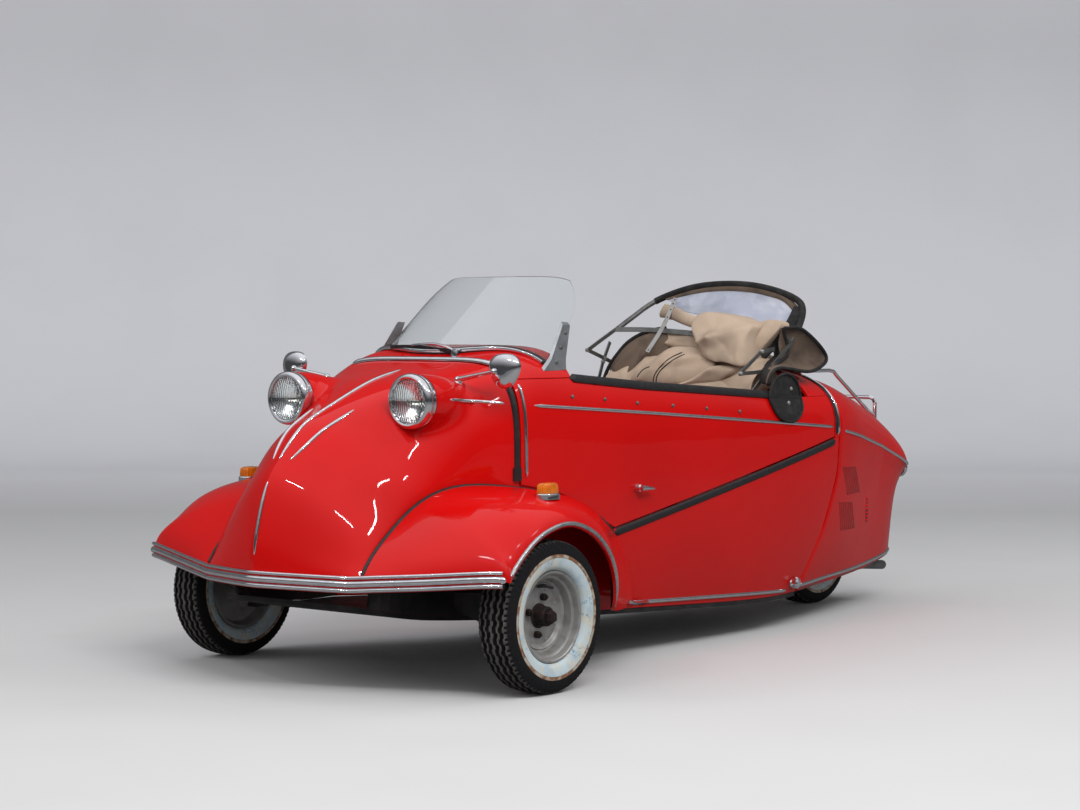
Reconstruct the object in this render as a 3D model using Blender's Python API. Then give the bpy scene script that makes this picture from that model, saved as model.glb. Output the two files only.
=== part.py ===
"""Open three-wheeled bubble car: a teardrop body with two seats in tandem.

Metres, +X forward, +Y left, +Z up.  The wheels stand on z = 0 and the overall
length is centred on x = 0.  Every body panel is a patch of one fuselage surface,
so the seams between panels meet by construction.
"""

import math

import bmesh
import bpy
import numpy as np
from mathutils import Vector
from mathutils.bvhtree import BVHTree

for old in list(bpy.data.objects):
    bpy.data.objects.remove(old, do_unlink=True)

# Clearances
TOUCH = 0.0003
LID_GAP = 0.006
COVER_GAP = 0.007

# Wheels
FRONT_AXLE_X = 0.946
WHEELBASE = 2.03
DRAWN_WHEELBASE = 2.03
REAR_AXLE_X = FRONT_AXLE_X - WHEELBASE
WHEEL_Z = 0.190
HALF_TRACK = 0.5418
TYRE_RADIUS = 0.190
TYRE_WIDTH = 0.103
RIM_RADIUS = 0.113
RIM_WIDTH = 0.076
HUB_RADIUS = 0.030
AXLE_RADIUS = 0.014
KINGPIN_INSET = 0.0898
KINGPIN_Y = HALF_TRACK - KINGPIN_INSET
KINGPIN_RADIUS = 0.013
LUG_GAP = 0.040
ARM_THICK = 0.010



def along(x):
    """A length as drawn: what lies behind the front axle keeps its share of the wheelbase."""
    x = np.asarray(x, float)
    behind = FRONT_AXLE_X + (x - FRONT_AXLE_X) * WHEELBASE / DRAWN_WHEELBASE
    return np.where(x < FRONT_AXLE_X, behind, x)


def drawn(rows, *columns):
    """A table of drawn points, with the columns that hold lengths moved by along."""
    table = np.array(rows, float)
    table[:, list(columns)] = along(table[:, list(columns)])
    return table


# Body
WALL = 0.010
WING_WALL = 0.008
FLOOR_THICKNESS = 0.012
BOW_X = float(along(0.790))
COCKPIT_FRONT_X = float(along(0.560))
COCKPIT_REAR_X = float(along(-0.545))
REAR_ARCH_X = float(along(-0.700))
HOOP_WIDTH = 0.026
STERN_DEPTH = 0.020
COVER_SILL_X = float(along(-0.520))
HINGE_RADIUS = 0.006

# Lamps and trim
LAMP_X = 1.066
LAMP_Y = 0.2150
LAMP_Z = 0.713
LAMP_RADIUS = 0.067
LAMP_BACK = 0.030
POD_LENGTH = 0.170
BUMPER_HEIGHT = 0.042
BUMPER_DEPTH = 0.012
BUMPER_SEAT = 0.0012
MIRROR_X = float(along(0.886))
MIRROR_Y = 0.373
MIRROR_Z = 0.791
MIRROR_RADIUS = 0.047
INDICATOR_X = float(along(0.900))
INDICATOR_Y = 0.527
INDICATOR_LENGTH = 0.052
INDICATOR_WIDE = 0.044
MIRROR_FOOT_Y = 0.235

# Hinges
LID_HINGE_Y = -0.392
LID_HINGE_X = along([0.42, -0.42]).tolist()
COVER_HINGE_Z = 0.780
COVER_HINGE_Y = 0.090
LUG_WIDTH = 0.022
LUG_SINK = 0.003

# Cabin
DASH_X = float(along(0.800))
DASH_THICK = 0.012
DASH_LOW = 0.500
COLUMN_FOOT = (float(along(0.920)), 0.390)
COLUMN_HEAD = (float(along(0.560)), 0.600)
COLUMN_RADIUS = 0.015
BAR_HALF = 0.175
SEAT_WIDE = 0.46
SEAT_THICK = 0.070
SEAT_LEAN = 0.080
# Seats: tag, front of back x, front edge of pad x, underside of pad z, top of back z
SEATS = (
    ("front", float(along(0.020)), float(along(0.420)), 0.240, 0.600),
    ("rear", float(along(-0.400)), float(along(-0.145)), 0.260, 0.615),
)

# Screen
SCREEN_FOOT_X = float(along(0.735))
SCREEN_FOOT_SWEEP = 0.100
SCREEN_TOP_X = float(along(0.475))
SCREEN_TOP_SWEEP = 0.050
SCREEN_RISE = 0.204

# Hood, folded: the rear bow from left to right, and each side's links as layer and x-z points
HOOD_BOW = drawn([
    (-0.515, 0.296, 0.842), (-0.575, 0.294, 0.890), (-0.625, 0.280, 0.945), (-0.645, 0.235, 0.985),
    (-0.652, 0.120, 1.018), (-0.655, 0.000, 1.030), (-0.650, -0.120, 1.024), (-0.640, -0.220, 1.000),
    (-0.610, -0.282, 0.968), (-0.540, -0.294, 0.930), (-0.460, -0.296, 0.892),
], 0)
HOOD_LINKS_LEFT = (
    (0, [(-0.318, 0.706), (-0.400, 0.765), (-0.530, 0.853)]),
    (1, [(-0.262, 0.762), (-0.330, 0.764), (-0.400, 0.768)]),
    (2, [(-0.262, 0.762), (-0.371, 0.825), (-0.440, 0.832)]),
)
HOOD_LINKS_RIGHT = (
    (0, [(-0.360, 0.703), (-0.395, 0.790), (-0.430, 0.850)]),
    (1, [(-0.316, 0.826), (-0.400, 0.800), (-0.470, 0.776)]),
    (2, [(-0.316, 0.826), (-0.390, 0.860), (-0.478, 0.899)]),
)
HOOD_HALF = 0.280
FLAP_CENTRE = (float(along(-0.400)), 0.690)
FLAP_HALF = (0.085, 0.070)
FLAP_THICK = 0.005
HANDLE_AT = (float(along(0.325)), 0.465)

# Tail pieces
RACK_Y = 0.100
RACK_Z = 0.757
RACK_BAR_Z = 0.665
LAMP_REAR_X = float(along(-1.382))
LAMP_REAR_Y = 0.158
LAMP_REAR_Z = 0.432
CATCH_AT = (float(along(-0.495)), 0.135)

# Drive
FRAME_Y = 0.100
FRAME_Z = 0.200
FRAME_RADIUS = 0.016
PIVOT_CLEAR = 0.024
PIVOT_X = REAR_AXLE_X + TYRE_RADIUS + PIVOT_CLEAR
FORK_Y = 0.068
FORK_THICK = 0.012
ENGINE_CLEAR = 0.030
ENGINE_LOW = (PIVOT_X + ENGINE_CLEAR, -0.115)
ENGINE_HIGH = (float(along(-0.665)), 0.115)
ENGINE_TOP = 0.440

# Fuselage stations from stern to nose.  Columns: top centre x z, widest point x y z,
# squareness of the upper quarter, sill point x y z, flare of the flank below the widest point
STATIONS = drawn([
    [-1.382, 0.478, -1.382, 0.186, 0.438, 2.0, -1.376, 0.122, 0.160, 0.85],
    [-1.348, 0.542, -1.348, 0.218, 0.449, 2.1, -1.350, 0.144, 0.155, 0.80],
    [-1.270, 0.603, -1.270, 0.238, 0.470, 2.3, -1.270, 0.178, 0.147, 0.55],
    [-1.100, 0.675, -1.100, 0.272, 0.514, 2.5, -1.100, 0.215, 0.131, 0.35],
    [-0.900, 0.728, -0.900, 0.325, 0.553, 2.7, -0.900, 0.256, 0.120, 0.15],
    [-0.700, 0.768, -0.700, 0.368, 0.578, 2.8, -0.700, 0.290, 0.113, 0.05],
    [-0.400, 0.800, -0.400, 0.382, 0.560, 3.0, -0.400, 0.328, 0.104, 0.0],
    [0.000, 0.835, 0.000, 0.380, 0.535, 3.4, 0.000, 0.338, 0.119, 0.0],
    [0.350, 0.850, 0.350, 0.368, 0.508, 3.9, 0.350, 0.338, 0.137, 0.0],
    [0.600, 0.848, 0.600, 0.356, 0.492, 4.5, 0.600, 0.330, 0.150, 0.0],
    [0.710, 0.838, 0.710, 0.350, 0.486, 5.0, 0.710, 0.325, 0.157, 0.0],
    [0.790, 0.808, 0.790, 0.345, 0.483, 5.0, 0.790, 0.318, 0.163, 0.0],
    [0.900, 0.778, 0.854, 0.320, 0.490, 3.5, 0.870, 0.300, 0.166, 0.0],
    [1.001, 0.750, 0.930, 0.287, 0.498, 2.4, 0.940, 0.280, 0.170, 0.0],
    [1.148, 0.690, 1.020, 0.268, 0.486, 1.70, 1.020, 0.262, 0.176, 0.0],
    [1.236, 0.643, 1.092, 0.262, 0.462, 1.55, 1.092, 0.256, 0.184, 0.0],
    [1.308, 0.570, 1.165, 0.262, 0.416, 1.40, 1.150, 0.250, 0.194, 0.0],
    [1.352, 0.505, 1.2395, 0.264, 0.362, 1.28, 1.200, 0.240, 0.204, 0.0],
    [1.383, 0.401, 1.280, 0.266, 0.315, 1.18, 1.250, 0.225, 0.214, 0.0],
    [1.395, 0.330, 1.298, 0.266, 0.292, 1.14, 1.270, 0.215, 0.218, 0.0],
    [1.398, 0.278, 1.303, 0.2656, 0.272, 1.12, 1.288, 0.205, 0.222, 0.0],
], 0, 2, 6)
BOW_ROW = 11
LIP_ROW = len(STATIONS) - 1
# Fractional stations at which the bow, the walls inside the wings and the floor are drawn
NOSE_ROWS = np.concatenate([np.linspace(BOW_ROW + 0.02, 14, 6)[:-1], np.linspace(14, LIP_ROW, 11)])
HOUSE_ROWS = NOSE_ROWS[NOSE_ROWS < LIP_ROW - 2.2]

# Lower edge of the door on the left flank, front to back: x, z
DOOR_EDGE = drawn([
    [0.790, 0.494],
    [0.650, 0.468],
    [0.555, 0.435],
    [0.455, 0.380],
    [0.411, 0.360],
    [-0.692, 0.570],
], 0)
# Top edge of the lid's rail round the cockpit: x, z
RIM = drawn([
    [0.560, 0.765],
    [0.272, 0.740],
    [-0.009, 0.722],
    [-0.387, 0.697],
    [-0.545, 0.690],
], 0)
# Belt line that both flanks carry: x, z
BELT = drawn([
    [0.842, 0.706],
    [0.272, 0.666],
    [-0.202, 0.631],
    [-0.704, 0.590],
], 0)
FLANK_KNOTS = np.concatenate([DOOR_EDGE[1:5, 0], BELT[1:3, 0]])
# Front edge of the tail cover on the flank: x, z
COVER_EDGE = drawn([
    [-0.520, 0.080],
    [-0.645, 0.295],
    [-0.700, 0.460],
    [-0.700, 0.900],
], 0)
# Left wing from front to back: seam on the body x y z, outer edge x y z
WING = drawn([
    [1.302, 0.2690, 0.286, 1.296, 0.292, 0.276],
    [1.262, 0.2690, 0.340, 1.228, 0.460, 0.287],
    [1.200, 0.2680, 0.392, 1.172, 0.608, 0.297],
    [1.130, 0.2670, 0.440, 1.140, 0.613, 0.300],
    [1.060, 0.2700, 0.474, 1.066, 0.612, 0.366],
    [0.985, 0.2780, 0.494, 0.985, 0.611, 0.402],
    [0.900, 0.3030, 0.499, 0.900, 0.609, 0.409],
    [0.800, 0.3500, 0.488, 0.800, 0.605, 0.370],
    [0.650, 0.3690, 0.460, 0.722, 0.594, 0.290],
    [0.520, 0.3740, 0.410, 0.682, 0.572, 0.205],
    [0.400, 0.3720, 0.320, 0.630, 0.528, 0.150],
    [0.320, 0.3600, 0.180, 0.400, 0.410, 0.143],
], 0, 3)

RED = ("body_red", (0.62, 0.012, 0.010), 0.18, 0.0)
BLACK = ("black_paint", (0.015, 0.015, 0.016), 0.5, 0.0)
RUBBER = ("rubber", (0.02, 0.02, 0.02), 0.7, 0.0)
CHROME = ("chrome", (0.75, 0.75, 0.76), 0.12, 1.0)
STEEL = ("steel", (0.45, 0.46, 0.47), 0.4, 1.0)
CAST = ("cast_alloy", (0.55, 0.56, 0.57), 0.45, 0.9)
WHITEWALL = ("tyre_rubber", (0.03, 0.03, 0.03), 0.8, 0.0)
GLASS = ("clear_glass", (0.80, 0.85, 0.85), 0.05, 0.0)
AMBER = ("amber_lens", (0.85, 0.25, 0.01), 0.2, 0.0)
RUBY = ("ruby_lens", (0.5, 0.0, 0.01), 0.2, 0.0)
CANVAS = ("canvas", (0.45, 0.34, 0.25), 0.9, 0.0)
VINYL = ("seat_vinyl", (0.05, 0.045, 0.04), 0.6, 0.0)


SIDES = ((1, "left"), (-1, "right"))
SKINS = {}


def material(spec):
    """The material of one finish: name, base colour, roughness, metallic."""
    name, colour, roughness, metallic = spec
    found = bpy.data.materials.get(name)
    if found:
        return found
    made = bpy.data.materials.new(name)
    made.use_nodes = True
    shader = made.node_tree.nodes["Principled BSDF"]
    shader.inputs["Base Color"].default_value = (*colour, 1.0)
    shader.inputs["Roughness"].default_value = roughness
    shader.inputs["Metallic"].default_value = metallic
    return made


def link(obj, spec):
    """Put an object in the scene with its finish."""
    bpy.context.scene.collection.objects.link(obj)
    obj.data.materials.append(material(spec))
    return obj


def empty(name, place, turn=(0.0, 0.0, 0.0)):
    """A guide that carries moving pieces: its origin lies on their joint's axis."""
    guide = bpy.data.objects.new(name, None)
    guide.location = place
    guide.rotation_euler = turn
    bpy.context.scene.collection.objects.link(guide)
    bpy.context.view_layer.update()
    return guide


def carry(obj, guide):
    """Hang a piece modelled in world coordinates on a guide without moving it."""
    obj.parent = guide
    obj.matrix_parent_inverse = guide.matrix_world.inverted()
    return obj


def smooth_along(table, at):
    """Values of a table at fractional row numbers, on a smooth curve through its rows."""
    table = np.asarray(table, float)
    rows = np.arange(len(table))
    slope = np.gradient(table, axis=0)
    at = np.clip(np.asarray(at, float), 0.0, len(table) - 1.0)
    low = np.minimum(at.astype(int), len(table) - 2)
    f = (at - rows[low])[..., None]
    h00 = 2 * f**3 - 3 * f**2 + 1
    h10 = f**3 - 2 * f**2 + f
    h01 = -2 * f**3 + 3 * f**2
    h11 = f**3 - f**2
    return h00 * table[low] + h10 * slope[low] + h01 * table[low + 1] + h11 * slope[low + 1]


def row_at(x):
    """The fractional station at a length x, up to the bow where sections stand upright."""
    rows = np.linspace(0, BOW_ROW, 400)
    return np.interp(x, smooth_along(STATIONS, rows)[:, 0], rows)


def line_at(table, x):
    """Height of an x-z line at x."""
    order = np.argsort(table[:, 0])
    return np.interp(x, table[order, 0], table[order, 1])


def skin(row, girth):
    """A point of the fuselage: girth 0 at the top, 1 at the widest line, 2 at the sill."""
    row, girth = np.broadcast_arrays(np.asarray(row, float), np.asarray(girth, float))
    s = smooth_along(STATIONS, row)
    side = np.sign(girth) + (girth == 0)
    g = np.abs(girth)
    angle = np.clip(g, 0, 1) * math.pi / 2
    across = np.sin(angle) ** (2 / s[..., 5])
    drop = 1 - np.cos(angle) ** (2 / s[..., 5])
    upper = np.stack([s[..., 0] + (s[..., 2] - s[..., 0]) * drop,
                      s[..., 3] * across,
                      s[..., 1] + (s[..., 4] - s[..., 1]) * drop], -1)
    down = np.clip(g - 1, 0, 1)
    rise = 1 - down
    bulge = (1 - s[..., 9]) * (1 - (1 - rise) ** 2) + s[..., 9] * rise**4
    lower = np.stack([s[..., 2] + (s[..., 6] - s[..., 2]) * down,
                      s[..., 7] + (s[..., 3] - s[..., 7]) * bulge,
                      s[..., 4] + (s[..., 8] - s[..., 4]) * down], -1)
    point = np.where((g <= 1)[..., None], upper, lower)
    point[..., 1] *= side
    return point


def girth_at(x, z):
    """The girth at which the flank reaches height z at length x."""
    x = np.asarray(x, float)
    s = smooth_along(STATIONS, row_at(x))
    up = np.clip((z - s[..., 4]) / (s[..., 1] - s[..., 4]), 0, 1)
    above = np.arccos(np.clip(up ** (s[..., 5] / 2), 0, 1)) * 2 / math.pi
    below = 1 + np.clip((s[..., 4] - z) / (s[..., 4] - s[..., 8]), 0, 1)
    return np.where(z > s[..., 4], above, below)


def normal_at(row, girth):
    """The fuselage's outward normal, from differences along and around it."""
    d = 1e-3
    row, girth = np.broadcast_arrays(np.asarray(row, float), np.asarray(girth, float))
    along = skin(row + d, girth) - skin(row - d, girth)
    around = skin(row, girth + d) - skin(row, girth - d)
    out = np.cross(along, around)
    return out / np.linalg.norm(out, axis=-1)[..., None]


def grid_solid(outer, inner):
    """Points and faces of the closed solid between two equal grids."""
    rows, cols = outer.shape[:2]
    a = np.arange(rows * cols).reshape(rows, cols)
    b = a + rows * cols
    faces = [np.stack([g[:-1, :-1], g[1:, :-1], g[1:, 1:], g[:-1, 1:]], -1).reshape(-1, 4) for g in (a,
                                                                                                     b[:,
                                                                                                       ::-1])]
    rim = np.concatenate([a[0, :-1], a[:-1, -1], a[-1, :0:-1], a[:0:-1, 0]])
    under = rim + rows * cols
    faces.append(np.stack([rim, np.roll(rim, -1), np.roll(under, -1), under], -1))
    points = np.concatenate([outer.reshape(-1, 3), inner.reshape(-1, 3)])
    return points, np.concatenate(faces).tolist()


def patch(name, row, girth, spec, wall=WALL, lean_girth=None):
    """A body panel: a patch of the fuselage skin with an even wall inside it."""
    outer = skin(row, girth)
    away = normal_at(row, girth if lean_girth is None else lean_girth)
    SKINS[name] = (outer, away)
    return solid_from(name, *grid_solid(outer, outer - wall * away), spec)


def bed(name, depth=0.030, centre=None, gap=2 * TOUCH):
    """A hidden block that fills the space under a panel, to cut the pieces that stand on it."""
    outer, away = SKINS[name]
    inner = outer - depth * away
    if centre is not None:
        inner = np.array(centre) + 0.3 * (outer - np.array(centre))
    block = solid_from("bed_" + name, *grid_solid(outer + gap * away, inner), BLACK, smooth=False)
    block.hide_render = True
    block.display_type = "WIRE"
    return block


def sheet(name, grid, spec, wall, flip=False):
    """A panel: a grid of points on its outer face, thickened inwards by Solidify."""
    rows, cols = grid.shape[:2]
    index = np.arange(rows * cols).reshape(rows, cols)
    quads = np.stack([index[:-1, :-1], index[1:, :-1], index[1:, 1:], index[:-1, 1:]], -1).reshape(-1, 4)
    if flip:
        quads = quads[:, ::-1]
    mesh = bpy.data.meshes.new(name)
    mesh.from_pydata(grid.reshape(-1, 3).tolist(), [], quads.tolist())
    mesh.shade_smooth()
    obj = link(bpy.data.objects.new(name, mesh), spec)
    solid = obj.modifiers.new("wall", "SOLIDIFY")
    solid.thickness = wall
    solid.offset = -1.0
    solid.use_even_offset = True
    return obj


def solid_from(name, verts, faces, spec, smooth=True):
    """A closed mesh with its faces turned outwards."""
    mesh = bpy.data.meshes.new(name)
    mesh.from_pydata([tuple(v) for v in verts], [], [tuple(f) for f in faces])
    work = bmesh.new()
    work.from_mesh(mesh)
    bmesh.ops.recalc_face_normals(work, faces=work.faces)
    work.to_mesh(mesh)
    work.free()
    if smooth:
        mesh.shade_smooth()
        mesh.set_sharp_from_angle(angle=math.radians(35))
    return link(bpy.data.objects.new(name, mesh), spec)


def loft(rings):
    """Points and faces of a closed solid through equal rings of points, capped at both ends."""
    rings = np.asarray(rings, float)
    count, sides = rings.shape[:2]
    index = np.arange(count * sides).reshape(count, sides)
    nxt = np.roll(index, -1, axis=1)
    quads = np.stack([index[:-1], nxt[:-1], nxt[1:], index[1:]], -1).reshape(-1, 4).tolist()
    caps = [index[0][::-1].tolist(), index[-1].tolist()]
    return rings.reshape(-1, 3), quads + caps


def lathe(profile, centre, axis, sides=24, closed=False):
    """Points and faces of a turned solid: profile of (along, radius) about an axis."""
    axis = Vector(axis).normalized()
    frame = axis.to_track_quat("Z", "Y").to_matrix()
    turn = np.arange(sides) * 2 * math.pi / sides
    rings = []
    for along, radius in profile:
        local = np.stack([radius * np.cos(turn), radius * np.sin(turn), np.full(sides, along)], -1)
        rings.append(local @ np.array(frame.transposed()) + np.array(centre))
    if not closed:
        return loft(rings)
    rings = np.asarray(rings)
    index = np.arange(len(profile) * sides).reshape(len(profile), sides)
    nxt = np.roll(index, -1, axis=1)
    down = np.roll(index, -1, axis=0)
    both = np.roll(nxt, -1, axis=0)
    return rings.reshape(-1, 3), np.stack([index, nxt, both, down], -1).reshape(-1, 4).tolist()


def box_solid(low, high):
    """Points and faces of a box between two corners."""
    (x0, y0, z0), (x1, y1, z1) = low, high
    ring = [(x0, y0), (x1, y0), (x1, y1), (x0, y1)]
    return loft([[(x, y, z0) for x, y in ring], [(x, y, z1) for x, y in ring]])


def prism(outline, axis, start, end):
    """Points and faces of an outline pushed along x, y or z between two levels."""
    slot = "xyz".index(axis)
    rings = []
    for level in (start, end):
        rings.append([np.insert(np.array(p, float), slot, level) for p in outline])
    return loft(rings)


def rounded(low, high, radius, steps=4):
    """Outline of a rectangle with round corners, between two corner points."""
    points = []
    corners = [(high[0], high[1], 0), (low[0], high[1], 90), (low[0], low[1], 180), (high[0], low[1], 270)]
    for x, y, start in corners:
        cx = x - radius if start in (0, 270) else x + radius
        cy = y - radius if start in (0, 90) else y + radius
        for k in range(steps + 1):
            a = math.radians(start + 90 * k / steps)
            points.append((cx + radius * math.cos(a), cy + radius * math.sin(a)))
    return points


def pipe(points, radius, sides=10):
    """Points and faces of a closed round bar along a path, by rings carried without twist."""
    path = np.asarray(points, float)
    radii = np.broadcast_to(radius, len(path))
    step = np.gradient(path, axis=0)
    step /= np.linalg.norm(step, axis=1)[:, None]
    side = np.cross(step[0], (0.0, 0.0, 1.0) if abs(step[0][2]) < 0.9 else (1.0, 0.0, 0.0))
    turn = np.arange(sides) * 2 * math.pi / sides
    rings = []
    for place, ahead, reach in zip(path, step, radii):
        side = side - ahead * np.dot(side, ahead)
        side /= np.linalg.norm(side)
        other = np.cross(ahead, side)
        rings.append(place + reach * (np.cos(turn)[:, None] * side + np.sin(turn)[:, None] * other))
    return loft(rings)


def curve_through(points, count):
    """A smooth path of count points through a few given points."""
    return smooth_along(points, np.linspace(0, len(points) - 1, count))


def mirrored(part):
    """The same points and faces on the other side of the car."""
    points = np.array(part[0], float)
    points[:, 1] *= -1
    return points, [list(reversed(face)) for face in part[1]]


def nose_shell():
    """The bow: every section leans from upright at the cowl to level at the lip."""
    arc = np.linspace(-1, 1, 25)
    arc = np.sign(arc) * np.abs(arc) ** 0.85
    lean = np.where(np.abs(arc) == 1, arc * 1.01, arc)
    return patch("nose_shell", NOSE_ROWS[:, None], arc[None, :], RED, lean_girth=lean[None, :])


def wheelhouse(side):
    """The wall inside the wing, from the wing's seam down to the floor."""
    rows = HOUSE_ROWS
    drop = np.linspace(1.002, 1.999, 5)
    name = "wheelhouse_left" if side > 0 else "wheelhouse_right"
    return patch(name, rows[:, None], side * drop[None, :], BLACK)


def flank(name, side, xs, low, high, spec, wall=WALL, steps=8):
    """A side panel between two height lines given at each x."""
    row = row_at(xs)
    g_low = girth_at(xs, low)
    g_high = girth_at(xs, high)
    mix = np.linspace(0, 1, steps)[None, :]
    girth = g_high[:, None] * (1 - mix) + g_low[:, None] * mix
    return patch(name, np.repeat(row[:, None], steps, 1), side * girth, spec, wall)


def cover_x(z):
    """Length at which the tail cover's front edge crosses height z on the flank."""
    return np.interp(z, COVER_EDGE[:, 1], COVER_EDGE[:, 0])


def flank_mix(front, knots, columns=17):
    """Shares of the way back at which the side panels and the floor under them are drawn."""
    return np.union1d(np.linspace(0, 1, columns),
                      [(x - front) / (REAR_ARCH_X + COVER_GAP - front) for x in knots])


def flank_to_cover(name, side, front, knots, low_of, high_of, spec, steps=6, columns=17):
    """A side panel from x = front back to the tail cover's slanted front edge."""
    mix = flank_mix(front, knots, columns)
    row = np.zeros((len(mix), steps))
    girth = np.zeros((len(mix), steps))
    for j, share in enumerate(np.linspace(0, 1, steps)):
        rear_z = (1 - share) * high_of(cover_x(0.55)) + share * 0.11
        rear = cover_x(rear_z) + COVER_GAP
        x = front + (rear - front) * mix
        z = (1 - share) * high_of(x) + share * low_of(x)
        row[:, j] = row_at(x)
        girth[:, j] = side * girth_at(x, z)
    return patch(name, row, girth, spec)


def sill_z(x):
    """Height of the sill at x."""
    return smooth_along(STATIONS, row_at(x))[..., 8]


def side_panels():
    """The fixed flanks: the left one under the door's slanted edge, the right one under the belt."""
    def low_of(x):
        return sill_z(x)

    def left_high(x):
        return line_at(DOOR_EDGE, x) - LID_GAP / 2

    def right_high(x):
        return line_at(BELT, x) - LID_GAP / 2

    flank_to_cover("side_left", 1, BOW_X - 0.004, FLANK_KNOTS, low_of, left_high, RED)
    flank_to_cover("side_right", -1, BOW_X - 0.004, FLANK_KNOTS, low_of, right_high, RED)


def floor_pan():
    """The floor: a plate that follows the sills from the tail to under the nose."""
    front = BOW_X - 0.004
    under = front + (cover_x(0.11) + COVER_GAP - front) * flank_mix(front, FLANK_KNOTS)
    rows = np.concatenate([row_at(under[::-1]), NOSE_ROWS])
    s = smooth_along(STATIONS, rows)
    share = np.linspace(-1, 1, 5)
    grid = np.stack([np.repeat(s[:, 6][:, None], 5, 1), s[:, 7][:, None] * share[None, :],
                     np.repeat((s[:, 8] - 2 * TOUCH)[:, None], 5, 1)], -1)
    return sheet("floor_pan", grid, BLACK, FLOOR_THICKNESS)


def wing(side):
    """A front wing: round over the wheel, cut away at the arch, tailing off along the sill."""
    rows = curve_through(WING, 27)
    seam = rows[:, :3]
    edge = rows[:, 3:]
    lean = np.linspace(0, 1, 8)[None, :, None] * math.pi / 2
    out = np.sin(lean) ** 0.85
    down = 1 - np.cos(lean) ** 0.85
    grid = np.zeros((len(rows), lean.size, 3))
    grid[..., 0:2] = seam[:, None, 0:2] + (edge - seam)[:, None, 0:2] * out
    grid[..., 2:3] = seam[:, None, 2:3] + (edge - seam)[:, None, 2:3] * down
    grid[..., 1] += 2 * TOUCH
    grid[..., 1] *= side
    name = "wing_left" if side > 0 else "wing_right"
    out = np.cross(np.gradient(grid, axis=0), np.gradient(grid, axis=1)) * -side
    SKINS[name] = (grid, out / np.linalg.norm(out, axis=-1)[..., None])
    return sheet(name, grid, RED, WING_WALL, flip=side > 0)


def lid_panels():
    """The four panels of the lid's ring round the cockpit."""
    front = BOW_X - LID_GAP
    rear = REAR_ARCH_X + HOOP_WIDTH + 2 * LID_GAP

    def door_low(x):
        return line_at(DOOR_EDGE, x) + LID_GAP / 2

    def rail_low(x):
        return line_at(BELT, x) + LID_GAP / 2

    def rim(x):
        return line_at(RIM, x) - TOUCH

    cowl_xs = np.linspace(COCKPIT_FRONT_X, front, 6)
    deck_xs = np.linspace(rear, COCKPIT_REAR_X, 5)
    for name, side, low in (("lid_door", 1, door_low), ("lid_rail", -1, rail_low)):
        xs = np.union1d(np.concatenate([cowl_xs, deck_xs]), np.concatenate([DOOR_EDGE[1:5, 0], RIM[:, 0]]))
        xs = np.union1d(xs, along(np.linspace(-0.45, 0.34, 6)))
        flank(name, side, xs, low(xs), rim(xs), RED, steps=5 if side > 0 else 4)
    xs = cowl_xs
    edge = girth_at(xs, line_at(RIM, xs) + 3 * TOUCH)
    across = np.linspace(1, -1, 21)
    patch("lid_cowl", np.repeat(row_at(xs)[:, None], 21, 1), edge[:, None] * across[None, :], RED)
    xs = deck_xs
    edge = girth_at(xs, line_at(RIM, xs) + TOUCH)
    patch("lid_rear_deck", np.repeat(row_at(xs)[:, None], 21, 1), edge[:, None] * across[None, :], RED)


def arch_hoop():
    """The fixed arch between the lid and the tail cover."""
    rear = REAR_ARCH_X + LID_GAP
    xs = np.linspace(rear + HOOP_WIDTH, rear, 3)
    left = girth_at(xs, line_at(DOOR_EDGE, xs) - LID_GAP / 2 + 3 * TOUCH)
    right = girth_at(xs, line_at(BELT, xs) - LID_GAP / 2 + 3 * TOUCH)
    mix = np.linspace(0, 1, 27)[None, :]
    girth = left[:, None] * (1 - mix) - right[:, None] * mix
    return patch("arch_hoop", np.repeat(row_at(xs)[:, None], 27, 1), girth, RED)


def tail_cover():
    """The tail: one shell from the slanted front edge round the stern, open below."""
    across = np.linspace(2, -2, 33)
    front = np.full(across.shape, REAR_ARCH_X)
    for _ in range(8):
        z = skin(row_at(front), across)[:, 2]
        front = np.where(np.abs(across) > 1, cover_x(z), REAR_ARCH_X)
    back = row_at(front)
    mix = np.concatenate([np.linspace(0, 0.75, 8)[:-1], np.linspace(0.75, 1, 7)])[:, None]
    grid = skin(back[None, :] * (1 - mix), across[None, :])
    stern = grid[-1]
    rings = [grid]
    for turn in np.radians([30, 60, 90]):
        ring = stern.copy()
        ring[:, 1] *= math.cos(turn)
        ring[:, 0] -= STERN_DEPTH * math.sin(turn)
        rings.append(ring[None])
    grid = np.concatenate(rings)
    obj = sheet("tail_cover", grid, RED, WALL)
    work = bmesh.new()
    work.from_mesh(obj.data)
    bmesh.ops.remove_doubles(work, verts=work.verts, dist=0.0001)
    work.to_mesh(obj.data)
    work.free()
    obj.modifiers["wall"].use_even_offset = False
    return obj


def tail_bed(cover, depth=0.030, gap=2 * TOUCH):
    """The same hidden block for the tail cover, whose stern closes on a line."""
    block = link(bpy.data.objects.new("bed_tail", cover.data.copy()), BLACK)
    solid = block.modifiers.new("wall", "SOLIDIFY")
    solid.thickness = depth
    solid.offset = 2 * gap / depth - 1
    solid.use_even_offset = False
    block.hide_render = True
    block.display_type = "WIRE"
    return block


def tree_of(*objects):
    """A search tree of the outer faces of some panels, to set pieces down on them."""
    verts, faces, base = [], [], 0
    for obj in objects:
        verts.extend(v.co.copy() for v in obj.data.vertices)
        faces.extend([i + base for i in p.vertices] for p in obj.data.polygons)
        base += len(obj.data.vertices)
    return BVHTree.FromPolygons(verts, faces)


def drop_on(tree, start, direction):
    """The point where a ray from start meets a panel, and the panel's outward normal there."""
    place, normal, _, _ = tree.ray_cast(Vector(start), Vector(direction).normalized())
    return place, normal


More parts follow.
